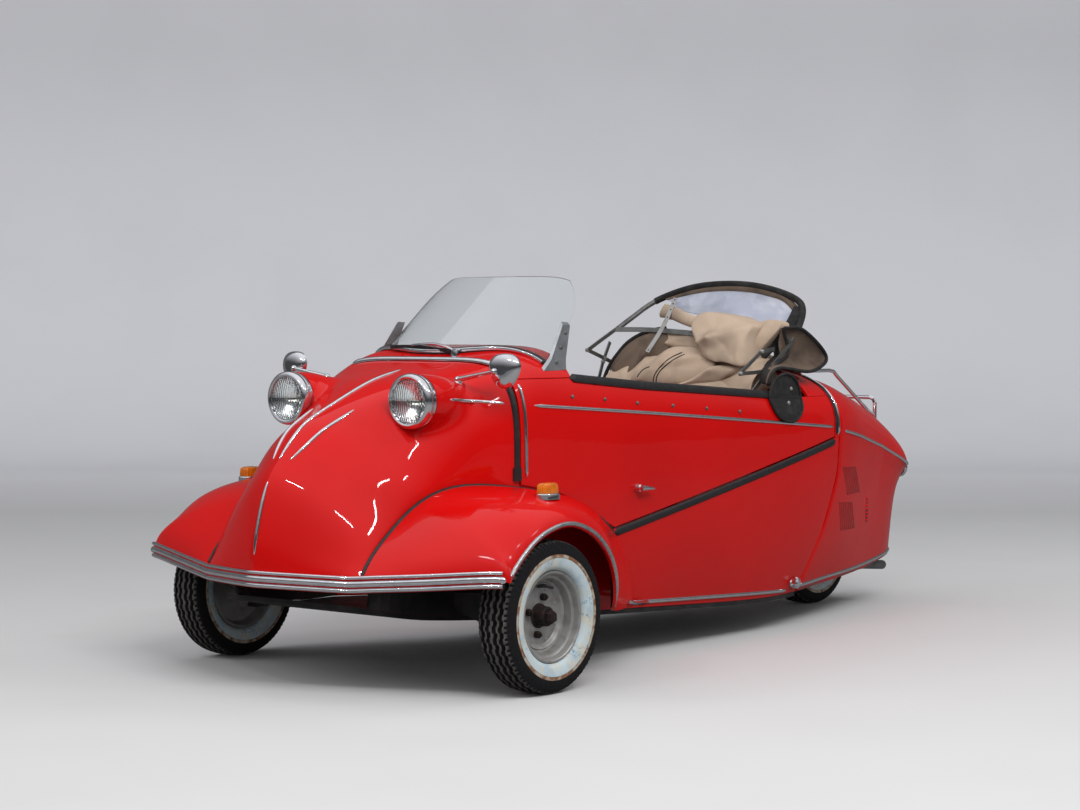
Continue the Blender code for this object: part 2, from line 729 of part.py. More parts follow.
def headlamp(side, shell, block):
    """A round lamp with a domed lens, seated on a tapered pod that grows out of the bow."""
    tag = "left" if side > 0 else "right"
    r = LAMP_RADIUS
    seat = -LAMP_BACK
    at = (LAMP_X, side * LAMP_Y, LAMP_Z)
    profile = [(0.016, 0.004), (0.014, 0.025), (0.006, 0.050), (0.001, 0.058), (0.006, 0.061), (0.004, r),
               (-0.012, r + 0.002), (seat + 0.004, r), (seat, r - 0.004)]
    lamp = solid_from("headlamp_" + tag, *lathe(profile, at, (1, 0, 0), 24), CHROME)
    cut(lamp, block)
    share = np.linspace(0, 1, 8)
    pod = np.stack([seat - 2 * TOUCH - POD_LENGTH * share, (r + 0.001) * np.sqrt(1.0004 - share**2.2)], -1)
    unite(shell, solid_from("pod_" + tag, *lathe(pod, at, (1, 0, 0), 24), RED))


def mirror(side, tree, block):
    """A bullet mirror on a bent arm that stands on the bow's shoulder."""
    head = (MIRROR_X, side * MIRROR_Y, MIRROR_Z)
    r = MIRROR_RADIUS
    profile = [(0.030, 0.006), (0.026, 0.6 * r), (0.014, 0.88 * r), (0.0, r), (-0.012, 0.97 * r),
               (-0.014, 0.9 * r)]
    foot, _ = drop_on(tree, (MIRROR_X - 0.005, side * MIRROR_FOOT_Y, 2.0), (0, 0, -1))
    z = foot.z
    arm = pipe([(foot.x, foot.y, z - 0.010), (foot.x, foot.y, z + 0.005),
                (foot.x, foot.y + side * 0.004, z + 0.018),
                (foot.x, foot.y + side * 0.030, z + 0.024), (MIRROR_X + 0.006, side * (MIRROR_Y - 0.5 * r),
                                                             MIRROR_Z - 0.002)],
               0.005, 8)
    name = "mirror_left" if side > 0 else "mirror_right"
    glass = solid_from(name, *lathe(profile, head, (1, 0, 0), 18), CHROME)
    unite(glass, solid_from(name + "_arm", *arm, CHROME))
    cut(glass, block)


def indicator(side, tree, block):
    """An amber lens on its base, cut to stand on the wing."""
    foot, _ = drop_on(tree, (INDICATOR_X, side * INDICATOR_Y, 2.0), (0, 0, -1))
    rings = []
    for level, grow in ((-0.020, 1.0), (0.012, 1.0), (0.014, 0.9), (0.030, 0.86), (0.038, 0.6)):
        turn = np.arange(16) * 2 * math.pi / 16
        rings.append(np.stack([INDICATOR_X + INDICATOR_LENGTH / 2 * grow * np.cos(turn),
                               side * (INDICATOR_Y + INDICATOR_WIDE / 2 * grow * np.sin(turn)),
                               np.full(16, foot.z + level)], -1))
    name = "indicator_left" if side > 0 else "indicator_right"
    cut(solid_from(name, *loft(rings), AMBER), block)


def bumper_trim():
    """The ribbed strip that follows the lip of the bow and both wings."""
    lip = skin(np.full(8, float(LIP_ROW)), np.linspace(0, 0.93, 8))
    edge = smooth_along(WING, np.linspace(0.0, 2.1, 8))[:, 3:]
    half = np.concatenate([lip, edge])
    half[:, 2] += 0.004
    path = np.concatenate([half[:0:-1] * [1, -1, 1], half])
    step = np.gradient(path, axis=0)
    out = np.stack([step[:, 1], -step[:, 0]], -1)
    out /= np.linalg.norm(out, axis=1)[:, None]
    h = BUMPER_HEIGHT / 2
    d = BUMPER_DEPTH
    section = [(0, -h), (0.6 * d, -h), (d, -0.62 * h), (d, -0.30 * h), (0.62 * d, -0.22 * h),
               (d, -0.10 * h),
               (d, 0.22 * h), (0.62 * d, 0.34 * h), (0.9 * d, 0.46 * h), (0.9 * d, 0.78 * h), (0.5 * d, h),
               (0, h)]
    rings = []
    for place, away in zip(path, out):
        rings.append([(place[0] + away[0] * (BUMPER_SEAT + u), place[1] + away[1] * (BUMPER_SEAT + u),
                       place[2] + v)
                      for u, v in section])
    return solid_from("bumper_trim", *loft(rings), CHROME)


def wheel(tag, centre, spec_tyre=WHITEWALL):
    """A tyre and its pressed rim with a bored hub, turning about the cross axis."""
    guide = empty("spin_" + tag, centre)
    half = TYRE_WIDTH / 2
    seat = RIM_RADIUS + 2 * TOUCH
    tyre = [(-0.62 * half, seat), (-0.86 * half, seat + 0.006), (-half, 0.5 * (seat + TYRE_RADIUS)),
            (-0.92 * half, TYRE_RADIUS - 0.020), (-0.72 * half, TYRE_RADIUS - 0.004),
            (-0.3 * half, TYRE_RADIUS),
            (0.3 * half, TYRE_RADIUS), (0.72 * half, TYRE_RADIUS - 0.004),
            (0.92 * half, TYRE_RADIUS - 0.020),
            (half, 0.5 * (seat + TYRE_RADIUS)), (0.86 * half, seat + 0.006), (0.62 * half, seat)]
    carry(solid_from("tyre_" + tag, *lathe(tyre, centre, (0, 1, 0), 32, closed=True), spec_tyre), guide)
    out = 1.0 if centre[1] >= 0 else -1.0
    w = RIM_WIDTH / 2
    bore = AXLE_RADIUS + 2 * TOUCH
    rim = [(-w, RIM_RADIUS), (-w, RIM_RADIUS - 0.010), (-0.5 * w, RIM_RADIUS - 0.020), (-0.1 * w, 0.074),
           (-0.5 * w, 0.060), (-0.55 * w, bore), (0.30 * w, bore), (0.34 * w, HUB_RADIUS),
           (-0.1 * w, 0.040),
           (-0.12 * w, 0.058), (0.30 * w, 0.080), (0.2 * w, 0.088), (0.75 * w, RIM_RADIUS - 0.012),
           (w, RIM_RADIUS)]
    rim = [(out * along, radius) for along, radius in rim]
    carry(solid_from("rim_" + tag, *lathe(rim, centre, (0, 1, 0), 24, closed=True), STEEL), guide)
    return guide


def knuckle(side):
    """The kingpin, the stub axle with its end nut, and the steering arm of one front wheel."""
    tag = "left" if side > 0 else "right"
    z = WHEEL_Z
    y = side * KINGPIN_Y
    guide = empty("steer_" + tag, (FRONT_AXLE_X, y, z))
    post = lathe([(-LUG_GAP, KINGPIN_RADIUS), (LUG_GAP, KINGPIN_RADIUS)], (FRONT_AXLE_X, y, z), (0, 0, 1),
                 20)
    carry(solid_from("knuckle_" + tag, *post, STEEL), guide)
    stub_from = y + side * (KINGPIN_RADIUS - 0.003)
    stub = lathe([(0.0, AXLE_RADIUS), (side * (HALF_TRACK - KINGPIN_Y + 0.022), AXLE_RADIUS),
                  (side * (HALF_TRACK - KINGPIN_Y + 0.030), 0.010)], (FRONT_AXLE_X, stub_from, z),
                  (0, 1, 0), 20)
    cutter = solid_from("stub_" + tag, *stub, STEEL)
    arm = pipe([(FRONT_AXLE_X - 0.006, y, z - 0.006), (FRONT_AXLE_X - 0.06, y - side * 0.012, z - 0.006),
                (FRONT_AXLE_X - 0.115, y - side * 0.020, z - 0.006)], 0.007, 10)
    lever = solid_from("lever_" + tag, *arm, STEEL)
    body = bpy.data.objects["knuckle_" + tag]
    unite(body, cutter)
    unite(body, lever)
    return guide


def unite(body, other):
    """Fuse another object into a body and leave the other out of the model."""
    other.hide_render = True
    other.display_type = "WIRE"
    tool = body.modifiers.new("join_" + other.name, "BOOLEAN")
    tool.operation = "UNION"
    tool.object = other
    tool.solver = "EXACT"


def cut(body, other):
    """Cut another object's shape out of a body and leave the cutter out of the model."""
    other.hide_render = True
    other.display_type = "WIRE"
    tool = body.modifiers.new("cut_" + other.name, "BOOLEAN")
    tool.operation = "DIFFERENCE"
    tool.object = other
    tool.solver = "EXACT"


def front_arms(tree):
    """One cross arm a side: a beam from the wheelhouse wall to two lugs round the kingpin."""
    z = WHEEL_Z
    outer = KINGPIN_Y - KINGPIN_RADIUS - 0.004
    t = ARM_THICK
    rings = []
    for x in (FRONT_AXLE_X - 0.020, FRONT_AXLE_X + 0.020):
        low, _ = drop_on(tree, (x, 1.0, z), (0, -1, 0))
        high, _ = drop_on(tree, (x, 1.0, z + 0.040), (0, -1, 0))
        beam = [(low.y - 0.006, z), (outer, z - LUG_GAP - TOUCH - t),
                (KINGPIN_Y + 0.018, z - LUG_GAP - TOUCH - t), (KINGPIN_Y + 0.018, z - LUG_GAP - TOUCH),
                (outer - 0.010, z - LUG_GAP - TOUCH), (outer - 0.010, z + LUG_GAP + TOUCH),
                (KINGPIN_Y + 0.018, z + LUG_GAP + TOUCH), (KINGPIN_Y + 0.018, z + LUG_GAP + TOUCH + t),
                (outer, z + LUG_GAP + TOUCH + t), (high.y - 0.006, z + 0.040)]
        rings.append([(x, *point) for point in beam])
    left = loft(rings)
    cut(solid_from("front_arm_left", *left, BLACK, smooth=False), bed("wheelhouse_left"))
    cut(solid_from("front_arm_right", *mirrored(left), BLACK, smooth=False), bed("wheelhouse_right"))


def plate_across(name, rows, spec, thickness, flip=False):
    """A bent plate across the car given by rows of (x, z, half width)."""
    share = np.linspace(-1, 1, 7)
    grid = np.array([[(x, half * k, z) for k in share] for x, z, half in rows])
    away = np.cross(np.gradient(grid, axis=0), np.gradient(grid, axis=1)) * (-1 if flip else 1)
    SKINS[name] = (grid, away / np.linalg.norm(away, axis=-1)[..., None])
    return sheet(name, grid, spec, thickness, flip)


def inner_half_width(x, z, wall=WALL):
    """Half width inside the flanks at a length and height."""
    return float(skin(row_at(x), girth_at(x, z))[1]) - wall - 0.0012


def bulkhead():
    """The slanted wall behind the rear seat."""
    rows = []
    for z in np.linspace(sill_z(COVER_SILL_X) + 0.0012, 0.545, 7):
        x = float(cover_x(z)) + 0.030
        rows.append((x, float(z), inner_half_width(x, z)))
    rows[0] = (COVER_SILL_X + 0.014, rows[0][1], rows[0][2])
    return plate_across("rear_bulkhead", rows, BLACK, WALL)


def dash(tree):
    """The plate that closes the bow behind the legs, cut to the bow's inner wall."""
    rings = []
    for x in (DASH_X, DASH_X + DASH_THICK):
        ring = []
        for k in range(33):
            a = math.radians(-2 + 184 * k / 32)
            start = Vector((x, 0.0, DASH_LOW))
            ahead = Vector((0.0, math.cos(a), math.sin(a)))
            if k in (0, 32):
                ahead = Vector((0.0, math.cos(a) / abs(math.cos(a)), 0.0))
            place, normal, _, distance = tree.ray_cast(start, ahead)
            reach = distance - 4 * TOUCH / abs(ahead.dot(normal))
            ring.append(start + ahead * reach)
        rings.append([tuple(p) for p in ring])
    return solid_from("dash_panel", *loft(rings), RED, smooth=False)


def column():
    """The fixed steering tube, with a foot plate on the dash."""
    foot = Vector((COLUMN_FOOT[0], 0.0, COLUMN_FOOT[1]))
    head = Vector((COLUMN_HEAD[0], 0.0, COLUMN_HEAD[1]))
    tube = solid_from("steering_column", *pipe([foot, foot.lerp(head, 0.5), head], COLUMN_RADIUS, 16),
                      BLACK)
    plate = solid_from("column_plate", *box_solid((DASH_X - 0.012, -0.030, 0.455),
                                                  (DASH_X - 2 * TOUCH, 0.030, 0.575)), BLACK)
    unite(tube, plate)
    ahead = (head - foot).normalized()
    return head, ahead


def steering_bar(head, ahead):
    """The handlebar: a hub on the column's end, with a bar and two grips."""
    guide = empty("steer_bar", head)
    up = Vector((ahead.z, 0.0, -ahead.x)).normalized()
    base = head + ahead * 0.0004
    hub = solid_from("steering_bar", *lathe([(0.0, 0.030), (0.010, 0.034), (0.032, 0.022)], base, ahead,
                                            24), BLACK)
    carry(hub, guide)
    middle = base + ahead * 0.018
    points = []
    for y, rise, back in ((-BAR_HALF, 0.030, 0.055), (-0.145, 0.024, 0.040), (-0.110, 0.010, 0.010),
                          (-0.05, 0.0, 0.0),
                          (0.05, 0.0, 0.0), (0.110, 0.010, 0.010), (0.145, 0.024, 0.040),
                          (BAR_HALF, 0.030, 0.055)):
        points.append(middle + Vector((0, y, 0)) + up * rise + ahead * back)
    unite(hub, solid_from("bar_tube", *pipe(curve_through(np.array(points), 16), 0.010, 8), BLACK))
    return guide


def seats(tree):
    """Two seats in tandem on pressed bases: flat pads with raked backs."""
    wide = SEAT_WIDE / 2
    for tag, back_x, x1, z0, back_z in SEATS:
        pad = prism(rounded((back_x + TOUCH, z0), (x1, z0 + SEAT_THICK), 0.022), "y", -wide, wide)
        solid_from("seat_pad_" + tag, *pad, VINYL)
        outline = [(back_x, z0), (back_x - SEAT_LEAN, back_z - 0.012), (back_x - SEAT_LEAN - 0.014, back_z),
                   (back_x - SEAT_LEAN - SEAT_THICK + 0.014, back_z),
                   (back_x - SEAT_LEAN - SEAT_THICK, back_z - 0.014),
                   (back_x - SEAT_THICK, z0)]
        solid_from("seat_back_" + tag, *prism(outline, "y", -wide, wide), VINYL)
        rear = back_x - SEAT_THICK
        low = []
        for x in np.linspace(rear, x1 - 0.02, 6):
            foot, _ = drop_on(tree, (x, 0.1, 0.6), (0, 0, -1))
            low.append((x, foot.z + 2 * TOUCH))
        outline = low + [(x1 - 0.02, z0 - TOUCH), (rear, z0 - TOUCH)]
        solid_from("seat_base_" + tag, *prism(outline, "y", 0.03 - wide, wide - 0.03), BLACK, smooth=False)


def drive():
    """Rear frame tubes, swing fork with axle, engine block and exhaust."""
    wall_x = float(cover_x(FRAME_Z)) + 0.045
    left = pipe([(wall_x, FRAME_Y, FRAME_Z), (0.5 * (wall_x + PIVOT_X), FRAME_Y, FRAME_Z),
                 (PIVOT_X - 0.015, FRAME_Y, FRAME_Z)], FRAME_RADIUS, 14)
    block = bed("rear_bulkhead", depth=0.060)
    cut(solid_from("rear_frame_left", *left, BLACK), block)
    cut(solid_from("rear_frame_right", *mirrored(left), BLACK), block)
    inner = FRAME_Y - FRAME_RADIUS - TOUCH
    fork = solid_from("rear_fork", *pipe([(PIVOT_X, -inner, FRAME_Z), (PIVOT_X, 0, FRAME_Z),
                                          (PIVOT_X, inner, FRAME_Z)],
                                         0.012, 16), BLACK)
    for side in (1, -1):
        plate = prism([(PIVOT_X + 0.014, FRAME_Z - 0.014), (PIVOT_X + 0.014, FRAME_Z + 0.014),
                       (REAR_AXLE_X, WHEEL_Z + 0.024),
                       (REAR_AXLE_X - 0.022, WHEEL_Z + 0.008), (REAR_AXLE_X - 0.022, WHEEL_Z - 0.014),
                       (REAR_AXLE_X, WHEEL_Z - 0.024)],
                      "y", side * FORK_Y, side * (FORK_Y + FORK_THICK))
        unite(fork, solid_from("fork_plate" + ("_l" if side > 0 else "_r"), *plate, BLACK, smooth=False))
    reach = FORK_Y + FORK_THICK + 0.004
    axle = pipe([(REAR_AXLE_X, -reach, WHEEL_Z), (REAR_AXLE_X, 0, WHEEL_Z), (REAR_AXLE_X, reach, WHEEL_Z)],
                AXLE_RADIUS, 20)
    unite(fork, solid_from("rear_axle", *axle, STEEL))
    low = (*ENGINE_LOW, FRAME_Z + FRAME_RADIUS + TOUCH)
    high = (*ENGINE_HIGH, ENGINE_TOP)
    solid_from("engine", *box_solid(low, high), CAST, smooth=False)
    route = drawn([(-0.780, ENGINE_HIGH[1] + 4 * TOUCH, 0.300), (-0.780, 0.126, 0.300),
                   (-0.785, 0.142, 0.297),
                   (-0.810, 0.158, 0.255), (-0.860, 0.160, 0.190), (-0.930, 0.155, 0.152),
                   (-1.340, 0.130, 0.112)], 0)
    route = curve_through(route, 20)
    radii = np.interp(route[:, 0], along([-1.19, -1.17, -0.98, -0.96]), [0.015, 0.034, 0.034, 0.015])
    solid_from("exhaust", *pipe(route, radii, 12), STEEL)


def lid_hinges():
    """Two hinges on the right flank: a half on the fixed panel and a half on the lid's rail."""
    def outline(x, upper):
        z = float(line_at(BELT, np.array([x]))[0])
        arc = []
        for k in range(7):
            a = math.radians(90 + 30 * k)
            arc.append((x, LID_HINGE_Y + HINGE_RADIUS * math.cos(a), z + HINGE_RADIUS * math.sin(a)))
        levels = (0.012, 0.036) if upper else (-0.036, -0.012)
        skin_points = []
        for level in levels:
            point = skin(row_at(x), -girth_at(x, z + level))
            skin_points.append((x, float(point[1]) + LUG_SINK, z + level))
        return arc + skin_points

    for number, x in enumerate(LID_HINGE_X):
        fixed = loft([outline(x, False), outline(x + LUG_WIDTH, False)])
        moving = loft([outline(x - 2 * TOUCH - LUG_WIDTH, True), outline(x - 2 * TOUCH, True)])
        unite(bpy.data.objects["side_right"], solid_from("lug_fixed_%d" % number, *fixed, RED))
        unite(bpy.data.objects["lid_rail"], solid_from("lug_lid_%d" % number, *moving, RED))


def cover_hinges():
    """Two hinges over the arch: a half on the hoop and a half on the tail cover."""
    def outline(y, moving):
        arc = []
        for k in range(7):
            a = math.radians(0 + 30 * k) if moving else math.radians(180 - 30 * k)
            arc.append((REAR_ARCH_X + HINGE_RADIUS * math.cos(a), y,
                        COVER_HINGE_Z + HINGE_RADIUS * math.sin(a)))
        xs = (REAR_ARCH_X - 0.030, REAR_ARCH_X - 0.008) if moving else (REAR_ARCH_X + 0.028,
                                                                        REAR_ARCH_X + 0.010)
        for x in xs:
            s = smooth_along(STATIONS, row_at(x))
            z = s[4] + (s[1] - s[4]) * (1 - (abs(y) / s[3]) ** s[5]) ** (1 / s[5])
            arc.append((x, y, float(z) - LUG_SINK))
        return arc

    for side, tag in SIDES:
        y = side * COVER_HINGE_Y
        fixed = loft([outline(y, False), outline(y + LUG_WIDTH, False)])
        moving = loft([outline(y - 2 * TOUCH - LUG_WIDTH, True), outline(y - 2 * TOUCH, True)])
        unite(bpy.data.objects["arch_hoop"], solid_from("lug_hoop_" + tag, *fixed, RED))
        unite(bpy.data.objects["tail_cover"], solid_from("lug_cover_" + tag, *moving, RED))


def windscreen(tree, block):
    """A wrapped screen: straight lines from an arc on the cowl to a shorter arc above."""
    columns, levels = 17, 7
    crown = float(skin(row_at(SCREEN_FOOT_X), 0.0)[2]) + SCREEN_RISE
    grid = np.zeros((levels, columns, 3))
    for j, v in enumerate(np.linspace(-1, 1, columns)):
        x0 = SCREEN_FOOT_X - SCREEN_FOOT_SWEEP * v * v
        foot, _ = drop_on(tree, (x0, 0.30 * v, 2.0), (0, 0, -1))
        x1 = SCREEN_TOP_X - SCREEN_TOP_SWEEP * v * v
        top_z = crown - 0.012 * abs(v) ** 8
        for i, s in enumerate(np.linspace(0, 1, levels)):
            wide = 0.300 - 0.020 * s - 0.062 * s**4
            x = x0 + (x1 - x0) * s - 0.02 * v * v * math.sin(math.pi * s)
            grid[i, j] = (x, wide * v, foot.z - 0.010 + (top_z - foot.z + 0.010) * s)
    cut(sheet("windscreen", grid, GLASS, 0.004, flip=True), block)


def screen_brackets(tree, block):
    """A cast foot each side that grips the screen's edge and stands on the cowl."""
    for side, tag in SIDES:
        y = side * 0.3095
        outline = [(0.672, -0.010), (0.620, 0.030), (0.556, 0.120), (0.526, 0.118), (0.560, 0.030),
                   (0.566, -0.010)]
        rings = []
        for shift in (0.0, 0.007):
            ring = []
            for x, rise in outline:
                x = float(along(x))
                foot, _ = drop_on(tree, (max(x, COCKPIT_FRONT_X + 0.002), y + side * shift, 2.0),
                                  (0, 0, -1))
                ring.append((x, y + side * shift - side * 0.15 * rise, foot.z + rise))
            rings.append(ring)
        cut(solid_from("screen_bracket_" + tag, *loft(rings), CAST, smooth=False), block)


def flat_bar(points, y, width=0.011, thick=0.004):
    """A flat strip in a plane across y: points are (x, z)."""
    path = drawn(points, 0)
    step = np.gradient(path, axis=0)
    step /= np.linalg.norm(step, axis=1)[:, None]
    rings = []
    for (x, z), (ux, uz) in zip(path, step):
        rings.append([(x - uz * width / 2, y, z + ux * width / 2),
                      (x + uz * width / 2, y, z - ux * width / 2),
                      (x + uz * width / 2, y + thick, z - ux * width / 2),
                      (x - uz * width / 2, y + thick, z + ux * width / 2)])
    return loft(rings)


def hood_frame():
    """The folded hood's rear bow, with a four-bar linkage at each side."""
    bow = curve_through(HOOD_BOW, 26)
    frame = solid_from("hood_frame", *pipe(bow, 0.008, 8), STEEL)
    for side, links in ((1, HOOD_LINKS_LEFT), (-1, HOOD_LINKS_RIGHT)):
        for layer, points in links:
            y = side * (0.3020 - 0.0013 * layer)
            bar = flat_bar(points, y if side > 0 else y - 0.004)
            unite(frame, solid_from("link_%d_%d" % (side, layer), *bar, STEEL, smooth=False))
        x = float(along(links[0][1][0][0]))
        rings = []
        for end in (x - 0.015, x + 0.015):
            rim = float(line_at(RIM, np.array([end]))[0])
            wide = float(skin(row_at(end), girth_at(end, rim))[1]) - 0.0002
            rings.append([(end, side * 0.300, rim + TOUCH), (end, side * wide, rim + TOUCH),
                          (end, side * wide, rim + 0.006),
                          (end, side * 0.300, rim + 0.012)])
        unite(frame, solid_from("hood_foot_%d" % side, *loft(rings), STEEL, smooth=False))


def hood_cloth(tree, block):
    """The heap of folded canvas between the linkages, saddled over the rear deck."""
    rings = []
    for y in np.linspace(-HOOD_HALF, HOOD_HALF, 11):
        k = 1 - 0.35 * abs(y / HOOD_HALF) ** 3
        ring = []
        for x, z in ((-0.350, 0.655), (-0.345, 0.74), (-0.375, 0.74 + 0.10 * k), (-0.450, 0.74 + 0.165 * k),
                     (-0.540, 0.75 + 0.165 * k), (-0.612, 0.75 + 0.120 * k)):
            ring.append((float(along(x)), y, z))
        for x in along([-0.618, -0.585]):
            foot, _ = drop_on(tree, (x, y, 2.0), (0, 0, -1))
            ring.append((x, y, foot.z - 0.006))
        foot, _ = drop_on(tree, (COCKPIT_REAR_X - 0.001, y, 2.0), (0, 0, -1))
        ring.append((COCKPIT_REAR_X + 0.002, y, foot.z + 0.003))
        ring.append((COCKPIT_REAR_X + 0.006, y, foot.z - 0.004))
        ring.append((COCKPIT_REAR_X + 0.008, y, 0.655))
        rings.append(ring)
    cut(solid_from("hood_cloth", *loft(rings), CANVAS), block)


def hood_flap():
    """The oval end flap that hangs over the door's rim."""
    u, v = np.meshgrid(np.linspace(-1, 1, 7), np.linspace(-1, 1, 7), indexing="ij")
    x = FLAP_CENTRE[0] + FLAP_HALF[0] * u * np.sqrt(1 - v * v / 2)
    z = FLAP_CENTRE[1] + FLAP_HALF[1] * v * np.sqrt(1 - u * u / 2)
    y = skin(row_at(x), girth_at(x, np.minimum(z, 0.690)))[..., 1] + FLAP_THICK + 0.0009
    return sheet("hood_flap", np.stack([x, y, z], -1), CANVAS, FLAP_THICK, flip=True)


def strip_on(name_points, wide, proud):
    """A strip laid along a line on the left skin: (x, z) points, a width and a height."""
    path = np.array(name_points, float)
    girth = girth_at(path[:, 0], path[:, 1])
    centre = skin(row_at(path[:, 0]), girth)
    ahead = np.gradient(centre, axis=0)
    ahead /= np.linalg.norm(ahead, axis=1)[:, None]
    up = skin(row_at(path[:, 0]), girth - 0.02) - skin(row_at(path[:, 0]), girth + 0.02)
    out = np.cross(ahead, up)
    out /= np.linalg.norm(out, axis=1)[:, None]
    out *= np.sign(out[:, 1:2])
    across = np.cross(out, ahead)
    across /= np.linalg.norm(across, axis=1)[:, None]
    rings = []
    for c, n, w in zip(centre, out, across):
        seat = c + n * 0.0009
        rings.append([seat - w * wide / 2, seat + w * wide / 2, seat + w * wide * 0.3 + n * proud,
                      seat - w * wide * 0.3 + n * proud])
    return loft(rings)


def door_seals():
    """The rubber strips under the door's slanted edge and in front of the door."""
    xs = along(np.linspace(0.400, -0.680, 22))
    slant = strip_on([(x, float(line_at(DOOR_EDGE, np.array([x]))[0]) - 0.013) for x in xs], 0.018, 0.005)
    solid_from("door_seal", *slant, RUBBER)


def handle():
    """The door handle: a round boss with a tapered lever that points back."""
    x, z = HANDLE_AT
    foot = skin(row_at(x), girth_at(x, z))
    boss = lathe([(-0.008, 0.012), (0.004, 0.012), (0.014, 0.010), (0.018, 0.008), (0.026, 0.007)], foot,
                 (0, 1, 0), 16)
    body = solid_from("door_handle", *boss, CHROME)
    cut(body, bed("lid_door"))
    y = float(foot[1]) + 0.021
    lever = pipe([(x + 0.006, y, z), (x - 0.02, y, z - 0.001), (x - 0.052, y - 0.002, z - 0.004)],
                 [0.007, 0.0065, 0.0045], 12)
    unite(body, solid_from("handle_lever", *lever, CHROME))
    return body


def rack(tree, block):
    """The luggage rack: two long hoops and a rear guard bar, all standing on the tail."""
    parts = []
    for side in (1, -1):
        y = side * RACK_Y
        front, _ = drop_on(tree, (float(along(-0.845)), y, 2.0), (0, 0, -1))
        rear, _ = drop_on(tree, (float(along(-1.285)), y, 2.0), (0, 0, -1))
        points = [(-0.845, y, front.z - 0.008), (-0.848, y, front.z + 0.004), (-0.862, y, front.z + 0.014),
                  (-0.890, y, RACK_Z), (-1.060, y, RACK_Z), (-1.085, y, RACK_Z - 0.004),
                  (-1.100, y, RACK_Z - 0.016),
                  (-1.275, y + side * 0.008, rear.z + 0.040), (-1.301, y + side * 0.0215, rear.z + 0.022)]
        parts.append(pipe(drawn(points, 0), 0.006, 8))
    y = RACK_Y + 0.022
    foot, _ = drop_on(tree, (float(along(-1.300)), y, 2.0), (0, 0, -1))
    z = RACK_BAR_Z
    guard = [(-1.300, -y, foot.z - 0.010), (-1.302, -y, z - 0.018), (-1.302, -y + 0.006, z - 0.005),
             (-1.302, -y + 0.020, z),
             (-1.302, y - 0.020, z), (-1.302, y - 0.006, z - 0.005), (-1.302, y, z - 0.018),
             (-1.300, y, foot.z - 0.010)]
    body = solid_from("tail_rack", *pipe(drawn(guard, 0), 0.0065, 8), CHROME)
    for number, hoop in enumerate(parts):
        unite(body, solid_from("rack_hoop_%d" % number, *hoop, CHROME))
    cut(body, block)


def tail_lamps(block):
    """A round ruby lamp each side, cut to stand on the stern."""
    for side, tag in SIDES:
        at = (LAMP_REAR_X, side * LAMP_REAR_Y, LAMP_REAR_Z)
        lamp = lathe([(0.014, 0.024), (-0.014, 0.026), (-0.018, 0.022), (-0.026, 0.016), (-0.029, 0.006)],
                     at, (1, 0, 0), 16)
        cut(solid_from("tail_lamp_" + tag, *lamp, RUBY), block)


def catches():
    """A turned knob each side, where the tail cover is fastened at the sill."""
    for side, tag in SIDES:
        x, z = CATCH_AT
        foot = skin(row_at(x), girth_at(x, z)) * [1, side, 1]
        knob = lathe([(-side * 0.012, 0.012), (side * 0.004, 0.012), (side * 0.010, 0.009),
                      (side * 0.012, 0.016),
                      (side * 0.024, 0.015), (side * 0.028, 0.008)], foot, (0, 1, 0), 16)
        cut(solid_from("cover_catch_" + tag, *knob, CHROME), bed("side_" + tag))


nose = nose_shell()
left_house = wheelhouse(1)
wheelhouse(-1)
side_panels()
pan = floor_pan()
left_wing = wing(1)
right_wing = wing(-1)
arch_hoop()
bow_tree = tree_of(nose)
bow_bed = bed("nose_shell", centre=(0.95, 0.0, 0.25))
for side, tag in SIDES:
    headlamp(side, nose, bow_bed)
    mirror(side, bow_tree, bow_bed)
    indicator(side, tree_of(left_wing if side > 0 else right_wing),
              bed("wing_" + tag, centre=(0.92, side * 0.42, 0.15)))
bumper_trim()
bulkhead()
dash(bow_tree)
steering_bar(*column())
seats(tree_of(pan))
drive()
front_arms(tree_of(left_house))
door_seals()
catches()

lid_panels()
cowl_tree = tree_of(bpy.data.objects["lid_cowl"])
cowl_bed = bed("lid_cowl")
windscreen(cowl_tree, cowl_bed)
screen_brackets(cowl_tree, cowl_bed)
hood_frame()
hood_cloth(tree_of(bpy.data.objects["lid_rear_deck"]), bed("lid_rear_deck"))
hood_flap()
handle()
lid_hinges()

cover = tail_cover()
tail_tree = tree_of(cover)
cover_bed = tail_bed(cover)
rack(tail_tree, cover_bed)
tail_lamps(cover_bed)
cover_hinges()

for side, tag in SIDES:
    steer = knuckle(side)
    turn = wheel("front_" + tag, (FRONT_AXLE_X, side * HALF_TRACK, WHEEL_Z))
    carry(turn, steer)
wheel("rear", (REAR_AXLE_X, 0.0, WHEEL_Z))
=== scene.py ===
"""The looks of an open three-wheeled bubble car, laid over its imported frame.

Metres, +X forward, +Y left, +Z up, wheels on z = 0.  Every red panel is a patch
of one fuselage surface S(row, girth); strips and beads are swept along lines on it.
"""

import math

import bmesh
import bpy
import numpy as np
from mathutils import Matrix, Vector
from mathutils.bvhtree import BVHTree


